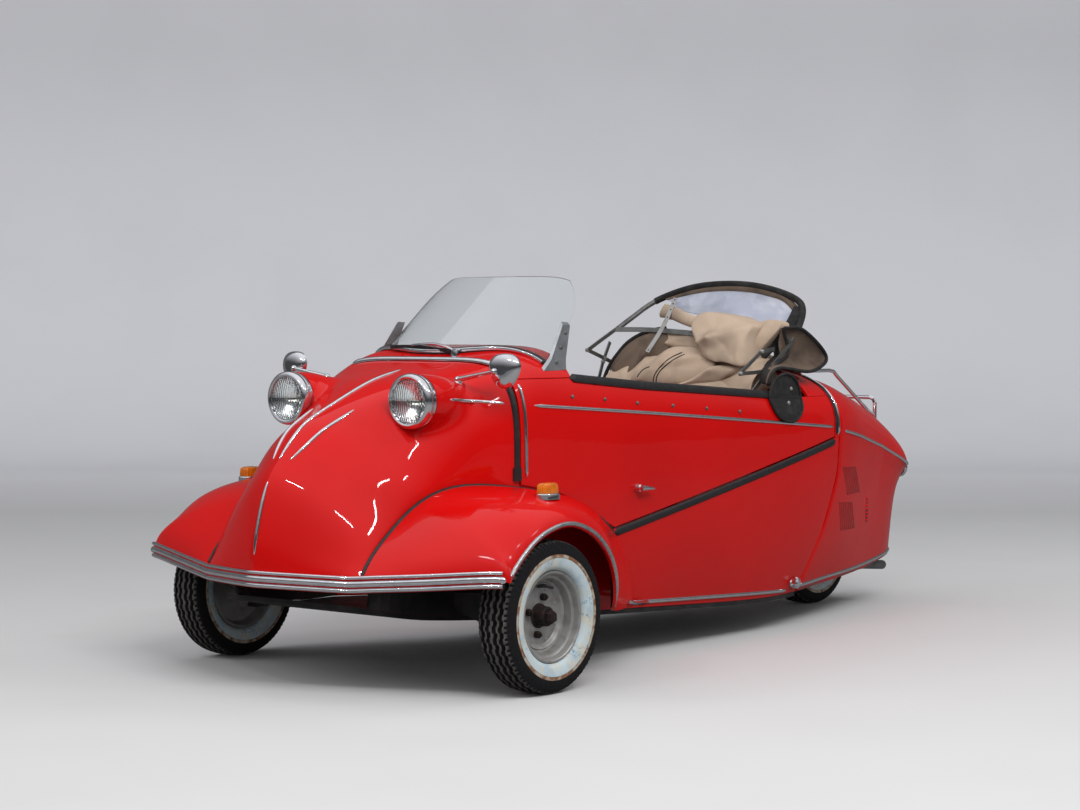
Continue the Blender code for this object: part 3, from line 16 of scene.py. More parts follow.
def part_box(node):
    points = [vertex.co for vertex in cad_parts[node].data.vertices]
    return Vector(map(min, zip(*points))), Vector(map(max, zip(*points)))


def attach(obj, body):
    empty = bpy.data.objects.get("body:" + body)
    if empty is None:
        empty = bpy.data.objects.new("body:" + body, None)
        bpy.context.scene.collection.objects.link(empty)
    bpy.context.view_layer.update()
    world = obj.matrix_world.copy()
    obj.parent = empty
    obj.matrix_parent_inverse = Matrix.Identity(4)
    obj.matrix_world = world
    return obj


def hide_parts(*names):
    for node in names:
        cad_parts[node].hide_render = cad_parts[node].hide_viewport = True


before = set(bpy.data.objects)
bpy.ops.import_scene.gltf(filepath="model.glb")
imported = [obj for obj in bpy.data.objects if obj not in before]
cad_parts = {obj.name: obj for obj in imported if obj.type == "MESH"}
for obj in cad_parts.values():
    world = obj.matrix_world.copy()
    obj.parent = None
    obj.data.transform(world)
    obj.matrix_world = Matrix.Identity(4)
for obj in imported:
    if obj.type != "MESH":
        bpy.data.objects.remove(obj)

bl_info = {
    "name": "Bubble car looks",
    "version": (1, 0, 0),
    "blender": (4, 5, 0),
    "location": "View3D > Sidebar > Bubble car",
    "description": "Dresses the packed bubble car: panels, trim, glass, wheels, hood and cabin",
    "category": "Object",
}

# Camera of the photograph, in the row frame
CAMERA_PLACE = (5.500, 4.2633, 0.9089)
CAMERA_YAW = 0.6857
CAMERA_PITCH = 0.0343
CAMERA_LENS = 80.08
CAMERA_SHIFT = (0.00062, 0.00045)

# Fuselage stations from stern to nose.  Columns: top centre x z, widest point x y z,
# squareness of the upper quarter, sill point x y z, flare of the flank below the widest point
STATIONS = np.array([
    [-1.382, 0.478, -1.382, 0.186, 0.438, 2.0, -1.376, 0.122, 0.160, 0.85],
    [-1.348, 0.542, -1.348, 0.218, 0.449, 2.1, -1.350, 0.144, 0.155, 0.80],
    [-1.270, 0.603, -1.270, 0.238, 0.470, 2.3, -1.270, 0.178, 0.147, 0.55],
    [-1.100, 0.675, -1.100, 0.272, 0.514, 2.5, -1.100, 0.215, 0.131, 0.35],
    [-0.900, 0.728, -0.900, 0.325, 0.553, 2.7, -0.900, 0.256, 0.120, 0.15],
    [-0.700, 0.768, -0.700, 0.368, 0.578, 2.8, -0.700, 0.290, 0.113, 0.05],
    [-0.400, 0.800, -0.400, 0.382, 0.560, 3.0, -0.400, 0.328, 0.104, 0.0],
    [0.000, 0.835, 0.000, 0.380, 0.535, 3.4, 0.000, 0.338, 0.119, 0.0],
    [0.350, 0.850, 0.350, 0.368, 0.508, 3.9, 0.350, 0.338, 0.137, 0.0],
    [0.600, 0.848, 0.600, 0.356, 0.492, 4.5, 0.600, 0.330, 0.150, 0.0],
    [0.710, 0.838, 0.710, 0.350, 0.486, 5.0, 0.710, 0.325, 0.157, 0.0],
    [0.790, 0.808, 0.790, 0.345, 0.483, 5.0, 0.790, 0.318, 0.163, 0.0],
    [0.900, 0.778, 0.854, 0.320, 0.490, 3.5, 0.870, 0.300, 0.166, 0.0],
    [1.001, 0.750, 0.930, 0.287, 0.498, 2.4, 0.940, 0.280, 0.170, 0.0],
    [1.148, 0.690, 1.020, 0.268, 0.486, 1.70, 1.020, 0.262, 0.176, 0.0],
    [1.236, 0.643, 1.092, 0.262, 0.462, 1.55, 1.092, 0.256, 0.184, 0.0],
    [1.308, 0.570, 1.165, 0.262, 0.416, 1.40, 1.150, 0.250, 0.194, 0.0],
    [1.352, 0.505, 1.2395, 0.264, 0.362, 1.28, 1.200, 0.240, 0.204, 0.0],
    [1.383, 0.401, 1.280, 0.266, 0.315, 1.18, 1.250, 0.225, 0.214, 0.0],
    [1.395, 0.330, 1.298, 0.266, 0.292, 1.14, 1.270, 0.215, 0.218, 0.0],
    [1.398, 0.278, 1.303, 0.2656, 0.272, 1.12, 1.288, 0.205, 0.222, 0.0],
])
BOW_ROW = 11
LIP_ROW = len(STATIONS) - 1

# Seams of the panels, front to back: x, z
DOOR_EDGE = np.array([[0.790, 0.494], [0.650, 0.468], [0.555, 0.435], [0.455, 0.380], [0.411, 0.360],
                      [-0.692, 0.570]])
RIM = np.array([[0.560, 0.765], [0.272, 0.740], [-0.009, 0.722], [-0.387, 0.697], [-0.545, 0.690]])
BELT = np.array([[0.842, 0.706], [0.272, 0.666], [-0.202, 0.631], [-0.704, 0.590]])
COVER_EDGE = np.array([[-0.520, 0.080], [-0.645, 0.295], [-0.700, 0.460], [-0.700, 0.900]])
# Left wing from front to back: seam on the body x y z, outer edge x y z
WING = np.array([
    [1.302, 0.2690, 0.286, 1.296, 0.292, 0.276],
    [1.262, 0.2690, 0.340, 1.228, 0.460, 0.287],
    [1.200, 0.2680, 0.392, 1.172, 0.608, 0.297],
    [1.130, 0.2670, 0.440, 1.140, 0.613, 0.300],
    [1.060, 0.2700, 0.474, 1.066, 0.612, 0.366],
    [0.985, 0.2780, 0.494, 0.985, 0.611, 0.402],
    [0.900, 0.3030, 0.499, 0.900, 0.609, 0.409],
    [0.800, 0.3500, 0.488, 0.800, 0.605, 0.370],
    [0.650, 0.3690, 0.460, 0.722, 0.594, 0.290],
    [0.520, 0.3740, 0.410, 0.682, 0.572, 0.205],
    [0.400, 0.3720, 0.320, 0.630, 0.528, 0.172],
    [0.320, 0.3600, 0.180, 0.400, 0.410, 0.154],
])
WALL = 0.010
WING_WALL = 0.008
LID_GAP = 0.006
COVER_GAP = 0.007
BOW_X = 0.790
COCKPIT_FRONT_X = 0.560
COCKPIT_REAR_X = -0.545
REAR_ARCH_X = -0.700
HOOP_WIDTH = 0.026
STERN_DEPTH = 0.020

# Lamps: centre of the left one, radius of its ring, depth of its bucket, length of the pod behind it
LAMP = (1.066, 0.215, 0.713)
LAMP_RADIUS = 0.067
LAMP_BACK = 0.030
POD_LENGTH = 0.170
SIDES = ((1, "left"), (-1, "right"))

# Wheels: radius over the tread, radius of the seat on the rim, middles of the grooves as shares of half
# the width
TYRE_RADIUS = 0.190
RIM_SEAT = 0.1138
GROOVES = (-0.56, -0.20, 0.20, 0.56)

# Folded hood: its highest bow from left to right, the lobes of canvas, the side lobe and the links' rivets
HOOD_BOW = [
    (-0.515, 0.296, 0.842), (-0.575, 0.294, 0.890), (-0.625, 0.280, 0.945), (-0.645, 0.235, 0.985),
    (-0.652, 0.120, 1.018), (-0.655, 0.000, 1.030), (-0.650, -0.120, 1.024), (-0.640, -0.220, 1.000),
    (-0.610, -0.282, 0.968), (-0.540, -0.294, 0.930), (-0.460, -0.296, 0.892),
]
# Each lobe: name, how far its rim turns back, how far it swells, outline x y z, creases (y z to y z,
# height, width)
LOBES = (
    ("canvas_left", 0.07, 0.024, [
        (-0.360, -0.170, 0.734), (-0.370, -0.160, 0.760), (-0.380, -0.115, 0.788), (-0.390, -0.054, 0.831),
        (-0.390, 0.004, 0.838), (-0.385, 0.053, 0.836), (-0.370, 0.108, 0.818), (-0.360, 0.140, 0.787),
        (-0.350, 0.123, 0.759), (-0.345, 0.070, 0.727), (-0.345, -0.015, 0.716), (-0.350, -0.105, 0.719)],
     [(-0.12, 0.735, -0.04, 0.825, 0.014, 0.040), (0.015, 0.715, 0.050, 0.835, 0.012, 0.034),
      (-0.03, 0.790, 0.10, 0.815, 0.008, 0.022)]),
    ("canvas_right", 0.07, 0.022, [
        (-0.330, -0.009, 0.716), (-0.335, 0.055, 0.736), (-0.340, 0.107, 0.764), (-0.350, 0.145, 0.782),
        (-0.380, 0.212, 0.780), (-0.420, 0.240, 0.773), (-0.470, 0.255, 0.764), (-0.470, 0.255, 0.727),
        (-0.430, 0.233, 0.696), (-0.380, 0.212, 0.687), (-0.340, 0.130, 0.700), (-0.330, 0.059, 0.713)],
     [(0.00, 0.715, 0.135, 0.776, 0.012, 0.024), (0.175, 0.700, 0.205, 0.776, 0.012, 0.030)]),
    ("canvas_top", 0.12, 0.020, [
        (-0.400, 0.030, 0.914), (-0.420, 0.061, 0.941), (-0.430, 0.099, 0.939), (-0.430, 0.149, 0.930),
        (-0.430, 0.194, 0.914), (-0.420, 0.234, 0.900), (-0.380, 0.234, 0.855), (-0.360, 0.242, 0.785),
        (-0.350, 0.194, 0.790), (-0.345, 0.126, 0.800), (-0.350, 0.089, 0.836), (-0.360, 0.065, 0.868)],
     [(0.075, 0.845, 0.135, 0.868, 0.020, 0.040), (0.135, 0.868, 0.235, 0.902, 0.018, 0.036),
      (0.228, 0.860, 0.230, 0.790, 0.010, 0.020), (0.135, 0.868, 0.125, 0.805, 0.008, 0.022)]),
    ("canvas_rear", 0.06, 0.014, [
        (-0.470, 0.166, 0.887), (-0.490, 0.192, 0.905), (-0.500, 0.234, 0.918), (-0.500, 0.278, 0.914),
        (-0.480, 0.286, 0.887), (-0.460, 0.256, 0.846), (-0.450, 0.225, 0.814), (-0.440, 0.198, 0.818),
        (-0.450, 0.180, 0.855)],
     [(0.195, 0.900, 0.205, 0.825, 0.010, 0.020), (0.250, 0.912, 0.222, 0.840, 0.010, 0.018)]),
    ("canvas_middle", 0.05, 0.016, [
        (-0.480, -0.133, 0.883), (-0.480, -0.061, 0.878), (-0.470, -0.003, 0.868), (-0.450, 0.028, 0.838),
        (-0.440, -0.030, 0.834), (-0.440, -0.089, 0.838), (-0.460, -0.122, 0.858)],
     [(-0.100, 0.845, -0.020, 0.872, 0.010, 0.016)]),
    ("canvas_end", 0.05, 0.016, [
        (-0.400, -0.284, 0.753), (-0.420, -0.263, 0.815), (-0.440, -0.231, 0.853), (-0.460, -0.175, 0.879),
        (-0.460, -0.111, 0.877), (-0.430, -0.083, 0.830), (-0.410, -0.132, 0.778), (-0.390, -0.175, 0.736),
        (-0.390, -0.229, 0.730)],
     [(-0.255, 0.770, -0.165, 0.872, 0.012, 0.030), (-0.205, 0.745, -0.105, 0.868, 0.014, 0.028)]),
)
SIDE_LOBE = [
    (-0.492, 0.300, 0.884), (-0.501, 0.310, 0.894), (-0.536, 0.320, 0.896), (-0.596, 0.330, 0.868),
    (-0.677, 0.330, 0.812), (-0.640, 0.340, 0.780), (-0.573, 0.345, 0.765), (-0.491, 0.350, 0.769),
    (-0.398, 0.352, 0.777), (-0.345, 0.355, 0.758), (-0.334, 0.352, 0.731), (-0.374, 0.330, 0.762),
    (-0.461, 0.310, 0.796), (-0.517, 0.300, 0.827),
]
LINK_JOINTS = (
    (-0.262, 0.3075, 0.762), (-0.400, 0.3075, 0.767), (-0.371, 0.3075, 0.825), (-0.318, 0.3075, 0.708),
    (-0.360, -0.3075, 0.705), (-0.316, -0.3075, 0.826), (-0.400, -0.3075, 0.800), (-0.395, -0.3075, 0.790),
)

# Finished pieces by name
PARTS = {}


class CarColours(bpy.types.PropertyGroup):
    """Colours of the car's finishes."""

    red: bpy.props.FloatVectorProperty(
        name="Body red", description="Gloss paint of the panels", subtype="COLOR", size=3,
        default=(0.56, 0.0035, 0.003), min=0.0, max=1.0)
    rubber: bpy.props.FloatVectorProperty(
        name="Rubber", description="Seals and tread", subtype="COLOR", size=3,
        default=(0.012, 0.012, 0.013), min=0.0, max=1.0)
    chrome: bpy.props.FloatVectorProperty(
        name="Chrome", description="Bright trim", subtype="COLOR", size=3,
        default=(0.80, 0.80, 0.82), min=0.0, max=1.0)
    whitewall: bpy.props.FloatVectorProperty(
        name="Whitewall", description="Painted side of the tyres", subtype="COLOR", size=3,
        default=(0.50, 0.58, 0.60), min=0.0, max=1.0)
    canvas: bpy.props.FloatVectorProperty(
        name="Canvas", description="Inside of the folded hood", subtype="COLOR", size=3,
        default=(0.48, 0.365, 0.268), min=0.0, max=1.0)
    amber: bpy.props.FloatVectorProperty(
        name="Amber", description="Lens of the indicators", subtype="COLOR", size=3,
        default=(0.90, 0.26, 0.01), min=0.0, max=1.0)
    vinyl: bpy.props.FloatVectorProperty(
        name="Seat vinyl", description="Cover of the seats", subtype="COLOR", size=3,
        default=(0.035, 0.032, 0.030), min=0.0, max=1.0)


class CarSizes(bpy.types.PropertyGroup):
    """Sizes of the pieces that are laid over the frame."""

    tread_depth: bpy.props.FloatProperty(
        name="Tread depth", description="Depth of the zigzag grooves", default=0.0058, min=0.0, max=0.008,
        subtype="DISTANCE", unit="LENGTH")
    strip_width: bpy.props.FloatProperty(
        name="Strip width", description="Width of the bright strips on the panels", default=0.010, min=0.004,
        max=0.02, subtype="DISTANCE", unit="LENGTH")
    strip_height: bpy.props.FloatProperty(
        name="Strip height", description="How far the bright strips stand proud", default=0.0045, min=0.001,
        max=0.01, subtype="DISTANCE", unit="LENGTH")
    bumper_rib: bpy.props.FloatProperty(
        name="Bumper rib", description="Width that each bumper rib is a share of", default=0.0105, min=0.004,
        max=0.016, subtype="DISTANCE", unit="LENGTH")
    seam_round: bpy.props.FloatProperty(
        name="Seam rounding", description="Radius of the panels' rolled edges", default=0.0016, min=0.0003,
        max=0.004, subtype="DISTANCE", unit="LENGTH")
    seat_loft: bpy.props.FloatProperty(
        name="Seat loft", description="How far the cushions may swell", default=0.008, min=0.005, max=0.016,
        subtype="DISTANCE", unit="LENGTH")
    fold_height: bpy.props.FloatProperty(
        name="Fold height", description="Height of the canvas folds", default=0.030, min=0.005, max=0.06,
        subtype="DISTANCE", unit="LENGTH")


def spline_through(table, at):
    """Values on the natural cubic spline with S(i) = row i and S'' continuous, at fractional rows."""
    table = np.asarray(table, float)
    count = len(table)
    system = np.eye(count)
    bend = np.zeros_like(table)
    middle = np.arange(1, count - 1)
    system[middle, middle] = 4.0
    system[middle, middle - 1] = 1.0
    system[middle, middle + 1] = 1.0
    bend[1:-1] = 6 * (table[2:] - 2 * table[1:-1] + table[:-2])
    bend = np.linalg.solve(system, bend)
    at = np.clip(np.asarray(at, float), 0.0, count - 1.0)
    low = np.minimum(at.astype(int), count - 2)
    f = (at - low)[..., None]
    g = 1 - f
    return g * table[low] + f * table[low + 1] + ((g**3 - g) * bend[low] + (f**3 - f) * bend[low + 1]) / 6


def row_at(x):
    """The fractional station at a length x, up to the bow where sections stand upright."""
    rows = np.linspace(0, BOW_ROW, 6000)
    return np.interp(x, spline_through(STATIONS, rows)[:, 0], rows)


def line_at(table, x):
    """Height of an x-z line at x."""
    order = np.argsort(table[:, 0])
    return np.interp(x, table[order, 0], table[order, 1])


def skin(row, girth):
    """S(row, g): upper quarter (sin a)^(2/n), (cos a)^(2/n) with a = 90 g degrees for |g| < 1, flank
    below."""
    row, girth = np.broadcast_arrays(np.asarray(row, float), np.asarray(girth, float))
    s = spline_through(STATIONS, row)
    side = np.sign(girth) + (girth == 0)
    g = np.abs(girth)
    angle = np.clip(g, 0, 1) * math.pi / 2
    across = np.sin(angle) ** (2 / s[..., 5])
    drop = 1 - np.clip(np.cos(angle), 0, 1) ** (2 / s[..., 5])
    upper = np.stack([s[..., 0] + (s[..., 2] - s[..., 0]) * drop, s[..., 3] * across,
                      s[..., 1] + (s[..., 4] - s[..., 1]) * drop], -1)
    down = np.clip(g - 1, 0, 1)
    rise = 1 - down
    bulge = (1 - s[..., 9]) * (1 - (1 - rise) ** 2) + s[..., 9] * rise**4
    lower = np.stack([s[..., 2] + (s[..., 6] - s[..., 2]) * down,
                      s[..., 7] + (s[..., 3] - s[..., 7]) * bulge,
                      s[..., 4] + (s[..., 8] - s[..., 4]) * down], -1)
    point = np.where((g <= 1)[..., None], upper, lower)
    point[..., 1] *= side
    return point


def girth_at(x, z):
    """The girth at which the flank reaches height z at length x."""
    s = spline_through(STATIONS, row_at(np.asarray(x, float)))
    up = np.clip((z - s[..., 4]) / (s[..., 1] - s[..., 4]), 0, 1)
    above = np.arccos(np.clip(up ** (s[..., 5] / 2), 0, 1)) * 2 / math.pi
    below = 1 + np.clip((s[..., 4] - z) / (s[..., 4] - s[..., 8]), 0, 1)
    return np.where(z > s[..., 4], above, below)


def normal_at(row, girth):
    """The outward normal dS/drow x dS/dgirth, by central differences."""
    d = 1e-3
    row, girth = np.broadcast_arrays(np.asarray(row, float), np.asarray(girth, float))
    out = np.cross(skin(row + d, girth) - skin(row - d, girth), skin(row, girth + d) - skin(row, girth - d))
    return out / np.linalg.norm(out, axis=-1)[..., None]


def quads(rows, cols, wrap=False, base=0):
    """Faces of a grid of rows x cols points; wrap closes each row on itself."""
    index = np.arange(rows * cols).reshape(rows, cols) + base
    if wrap:
        index = np.concatenate([index, index[:, :1]], axis=1)
    return np.stack([index[:-1, :-1], index[1:, :-1], index[1:, 1:], index[:-1, 1:]], -1).reshape(-1, 4)


def shell(outer, away, wall):
    """The closed shell between a grid P and P - wall N."""
    rows, cols = outer.shape[:2]
    inner = outer - wall * away
    rim = np.arange(rows * cols).reshape(rows, cols)
    rim = np.concatenate([rim[0, :-1], rim[:-1, -1], rim[-1, :0:-1], rim[:0:-1, 0]])
    under = rim + rows * cols
    sides = np.stack([rim, np.roll(rim, -1), np.roll(under, -1), under], -1)
    faces = np.concatenate([quads(rows, cols), quads(rows, cols, base=rows * cols)[:, ::-1], sides])
    return np.concatenate([outer.reshape(-1, 3), inner.reshape(-1, 3)]), faces.tolist()


def loft(rings, closed=False):
    """A skin through equal rings of points; closed joins the last ring to the first, or else both ends are
    capped."""
    rings = np.asarray(rings, float)
    count, sides = rings.shape[:2]
    faces = quads(count, sides, wrap=True).tolist()
    if closed:
        last = np.arange(sides) + (count - 1) * sides
        first = np.arange(sides)
        faces += np.stack([last, first, np.roll(first, -1), np.roll(last, -1)], -1).tolist()
    else:
        faces += [list(range(sides))[::-1], [i + (count - 1) * sides for i in range(sides)]]
    return rings.reshape(-1, 3), faces


def turned(profile, centre, axis, sides=64, wave=None, closed=False):
    """A solid of revolution: P = centre + a u + r (cos t v + sin t w) for each (a, r) of the profile."""
    profile = np.asarray(profile, float)
    u = np.array(Vector(axis).normalized())
    v = np.array(Vector(u).to_track_quat("Z", "Y").to_matrix().col[0])
    w = np.cross(u, v)
    t = np.arange(sides) * 2 * math.pi / sides
    reach = profile[:, 1:2] * (1 if wave is None else wave(t)[None, :])
    rings = (np.array(centre) + profile[:, 0][:, None, None] * u
             + reach[..., None] * (np.cos(t)[:, None] * v + np.sin(t)[:, None] * w))
    return loft(rings, closed)


def tube(points, radius, sides=12):
    """A round bar along a path, with frames carried from point to point without twist."""
    path = np.asarray(points, float)
    ahead = np.gradient(path, axis=0)
    ahead /= np.linalg.norm(ahead, axis=1)[:, None]
    side = np.cross(ahead[0], (0.0, 0.0, 1.0) if abs(ahead[0][2]) < 0.9 else (1.0, 0.0, 0.0))
    sides_of = []
    for step in ahead:
        side = side - step * np.dot(side, step)
        side /= np.linalg.norm(side)
        sides_of.append(side)
    sides_of = np.array(sides_of)
    other = np.cross(ahead, sides_of)
    t = np.arange(sides) * 2 * math.pi / sides
    reach = np.broadcast_to(radius, len(path))[:, None, None]
    rings = path[:, None] + reach * (np.cos(t)[None, :, None] * sides_of[:, None]
                                     + np.sin(t)[None, :, None] * other[:, None])
    return loft(rings)


def tube_ring(path, radius, sides=10):
    """A round bar along a closed path."""
    path = np.asarray(path, float)
    ahead = np.roll(path, -1, 0) - np.roll(path, 1, 0)
    ahead /= np.linalg.norm(ahead, axis=1)[:, None]
    spread = path - path.mean(axis=0)
    side = spread - ahead * (spread * ahead).sum(1)[:, None]
    side /= np.linalg.norm(side, axis=1)[:, None]
    other = np.cross(ahead, side)
    t = np.arange(sides) * 2 * math.pi / sides
    turn = np.cos(t)[None, :, None] * side[:, None] + np.sin(t)[None, :, None] * other[:, None]
    rings = path[:, None] + radius * turn
    return loft(rings, closed=True)


def ball(centre, radius, sides=24):
    """A ball with closed ends."""
    t = np.linspace(-1.5, 1.5, 13)
    return turned(np.stack([radius * np.sin(t), radius * np.cos(t)], -1), centre, (1, 0, 0), sides)


def smooth_path(points, count):
    """count points on the cubic spline through a few given ones."""
    return spline_through(points, np.linspace(0, len(points) - 1, count))


def closed_line(points, count):
    """count points on the closed cubic spline through a ring of given ones."""
    ring = np.asarray(points, float)
    table = np.concatenate([ring[-4:], ring, ring[:4]])
    return spline_through(table, np.linspace(4, 4 + len(ring), count, endpoint=False))


def half_round(width, height, sink=0.001, steps=9):
    """Section (u, n) = (w/2 cos t, h sin t) with a foot sunk into what it lies on."""
    t = np.linspace(0, math.pi, steps)
    arc = np.stack([width / 2 * np.cos(t), height * np.sin(t)], -1)
    return np.concatenate([arc, [[-width / 2, -sink], [width / 2, -sink]]])


def swept(path, normal, section, taper=0.0):
    """A section (u, n) carried along a path: P = C + u (T x N) + n N; taper shrinks it over that length at
    each end."""
    path = np.asarray(path, float)
    normal = np.asarray(normal, float)
    ahead = np.gradient(path, axis=0)
    ahead /= np.linalg.norm(ahead, axis=1)[:, None]
    normal = normal - ahead * (normal * ahead).sum(1)[:, None]
    normal /= np.linalg.norm(normal, axis=1)[:, None]
    across = np.cross(ahead, normal)
    scale = np.ones(len(path))
    if taper > 0:
        run = np.concatenate([[0], np.cumsum(np.linalg.norm(np.diff(path, axis=0), axis=1))])
        near = np.minimum(run, run[-1] - run)
        scale = 0.25 + 0.75 * np.sqrt(np.clip(near / taper, 0, 1))
    section = np.asarray(section, float)
    rings = (path[:, None] + (scale[:, None] * section[None, :, 0])[..., None] * across[:, None]
             + (scale[:, None] * section[None, :, 1])[..., None] * normal[:, None])
    return loft(rings)


def grid_normals(grid, row, column, axis):
    """Unit normals dP/du x dP/dv of a grid, turned so that the one at a row and column points up an
    axis."""
    away = np.cross(np.gradient(grid, axis=0), np.gradient(grid, axis=1))
    away /= np.linalg.norm(away, axis=-1)[..., None]
    return away * np.sign(away[row, column, axis])


def together(*parts):
    """Several point-and-face solids as one."""
    verts, faces, base = [], [], 0
    for points, polygons in parts:
        verts.append(np.asarray(points, float))
        faces.extend([[i + base for i in polygon] for polygon in polygons])
        base += len(points)
    return np.concatenate(verts), faces


def piece(name, part, material, body, angle=35, bevel=0.0, replaces=(), weld=1e-5):
    """An object from points and faces, outward facing, smooth below an angle, riding on a body."""
    verts, faces = part
    mesh = bpy.data.meshes.new(name)
    mesh.from_pydata(np.asarray(verts, float).tolist(), [], [list(f) for f in faces])
    work = bmesh.new()
    work.from_mesh(mesh)
    bmesh.ops.remove_doubles(work, verts=work.verts, dist=weld)
    bmesh.ops.recalc_face_normals(work, faces=work.faces)
    work.to_mesh(mesh)
    work.free()
    mesh.shade_smooth()
    mesh.set_sharp_from_angle(angle=math.radians(angle))
    mesh.materials.append(material)
    obj = bpy.data.objects.new(name, mesh)
    bpy.context.scene.collection.objects.link(obj)
    if bevel > 0:
        rounding = obj.modifiers.new("rounding", "BEVEL")
        rounding.width = bevel
        rounding.segments = 2
        rounding.limit_method = "ANGLE"
        rounding.angle_limit = math.radians(60)
        rounding.harden_normals = True
    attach(obj, body)
    if replaces:
        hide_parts(*replaces)
    PARTS[name] = obj
    return obj


def blacken_inside(obj, count):
    """Satin black on the inner faces of a shell, the second count of its polygons."""
    polygons = obj.data.polygons
    if len(polygons) < 2 * count:
        raise RuntimeError("the shell %s lost faces" % obj.name)
    index = np.zeros(len(polygons), np.int32)
    index[count:2 * count] = 1
    obj.data.materials.append(black_paint_and_shade())
    polygons.foreach_set("material_index", index)


def positions(mesh):
    """The points of a mesh as an array."""
    flat = np.empty(len(mesh.vertices) * 3)
    mesh.vertices.foreach_get("co", flat)
    return flat.reshape(-1, 3)


def normals_of(mesh):
    """The vertex normals of a mesh as an array."""
    flat = np.empty(len(mesh.vertices) * 3)
    mesh.vertex_normals.foreach_get("vector", flat)
    return flat.reshape(-1, 3)


def search_tree(*names):
    """A search tree of some finished panels."""
    verts, faces, base = [], [], 0
    for name in names:
        mesh = PARTS[name].data
        verts.extend(v.co.copy() for v in mesh.vertices)
        faces.extend([i + base for i in p.vertices] for p in mesh.polygons)
        base += len(mesh.vertices)
    return BVHTree.FromPolygons(verts, faces)


def dropped(tree, starts, direction):
    """Places and normals where rays meet a panel."""
    places, normals = [], []
    for start in starts:
        place, normal, _, _ = tree.ray_cast(Vector(start), Vector(direction).normalized())
        if place is None:
            raise RuntimeError("a strip misses its panel at %s" % (tuple(start),))
        places.append(place)
        normals.append(normal if normal.dot(Vector(direction)) < 0 else -normal)
    return np.array(places), np.array(normals)


def sight_on(tree, marks):
    """Places and normals where sight lines from the camera through some marks meet a piece."""
    eye = Vector(CAMERA_PLACE)
    places, normals = [], []
    for mark in marks:
        ahead = (Vector(mark) - eye).normalized()
        place, normal, _, _ = tree.ray_cast(eye, ahead)
        if place is None:
            raise RuntimeError("a piping misses the canvas at %s" % (tuple(mark),))
        places.append(place)
        normals.append(normal if normal.dot(ahead) < 0 else -normal)
    return np.array(places), np.array(normals)


def add_node(tree, kind, inputs=None, **settings):
    """A shader node with its inputs set or linked."""
    node = tree.nodes.new(kind)
    for key, value in settings.items():
        setattr(node, key, value)
    for key, value in (inputs or {}).items():
        if isinstance(value, bpy.types.NodeSocket):
            tree.links.new(value, node.inputs[key])
        else:
            node.inputs[key].default_value = value
    return node


def noise(tree, scale, detail=4.0, stretch=(1.0, 1.0, 1.0), rough=0.5):
    """Noise read in the piece's own coordinates."""
    place = add_node(tree, "ShaderNodeTexCoord").outputs["Object"]
    if tuple(stretch) != (1.0, 1.0, 1.0):
        place = add_node(tree, "ShaderNodeMapping", {"Vector": place, "Scale": stretch}).outputs["Vector"]
    return add_node(tree, "ShaderNodeTexNoise", {"Vector": place, "Scale": scale, "Detail": detail,
                                                 "Roughness": rough}).outputs["Fac"]


def ramp(tree, value, low, high, out_low=0.0, out_high=1.0):
    """A value mapped from one range to another and held inside it."""
    return add_node(tree, "ShaderNodeMapRange", {"Value": value, "From Min": low, "From Max": high,
                                                 "To Min": out_low, "To Max": out_high}).outputs["Result"]


def blend_colour(tree, share, first, second):
    """A mix of two colours or colour sockets."""
    mix = add_node(tree, "ShaderNodeMix", data_type="RGBA")
    for slot_index, value in ((0, share), (6, first), (7, second)):
        if isinstance(value, bpy.types.NodeSocket):
            tree.links.new(value, mix.inputs[slot_index])
        else:
            mix.inputs[slot_index].default_value = value if slot_index == 0 else (*value[:3], 1.0)
    return mix.outputs[2]


def finish(name, colour, second=None, share=(0.45, 0.75), scale=12.0, rough=(0.4, 0.5), metal=0.0, coat=0.0,
           bump=0.0, bump_scale=200.0, stretch=(1.0, 1.0, 1.0), extra=None, distance=0.0005):
    """A worn procedural finish: two colours mixed by noise, roughness that varies and a fine bump."""
    found = bpy.data.materials.get(name)
    if found:
        return found
    made = bpy.data.materials.new(name)
    made.use_nodes = True
    tree = made.node_tree
    shader = tree.nodes["Principled BSDF"]
    spread = noise(tree, scale, stretch=stretch)
    mixed = blend_colour(tree, ramp(tree, spread, *share), colour, second or [c * 0.8 for c in colour])
    tree.links.new(mixed, shader.inputs["Base Color"])
    tree.links.new(ramp(tree, noise(tree, scale * 2.3), 0.3, 0.7, *rough), shader.inputs["Roughness"])
    shader.inputs["Metallic"].default_value = metal
    shader.inputs["Coat Weight"].default_value = coat
    shader.inputs["Coat Roughness"].default_value = 0.03
    if bump > 0:
        height = noise(tree, bump_scale, 2.0, stretch)
        bumped = add_node(tree, "ShaderNodeBump", {"Height": height, "Strength": bump,
                                                   "Distance": distance})
        tree.links.new(bumped.outputs["Normal"], shader.inputs["Normal"])
    if extra:
        extra(tree, shader, mixed)
    return made


def colours():
    """The scene's colour settings."""
    return bpy.context.scene.car_colours


def sizes():
    """The scene's size settings."""
    return bpy.context.scene.car_sizes


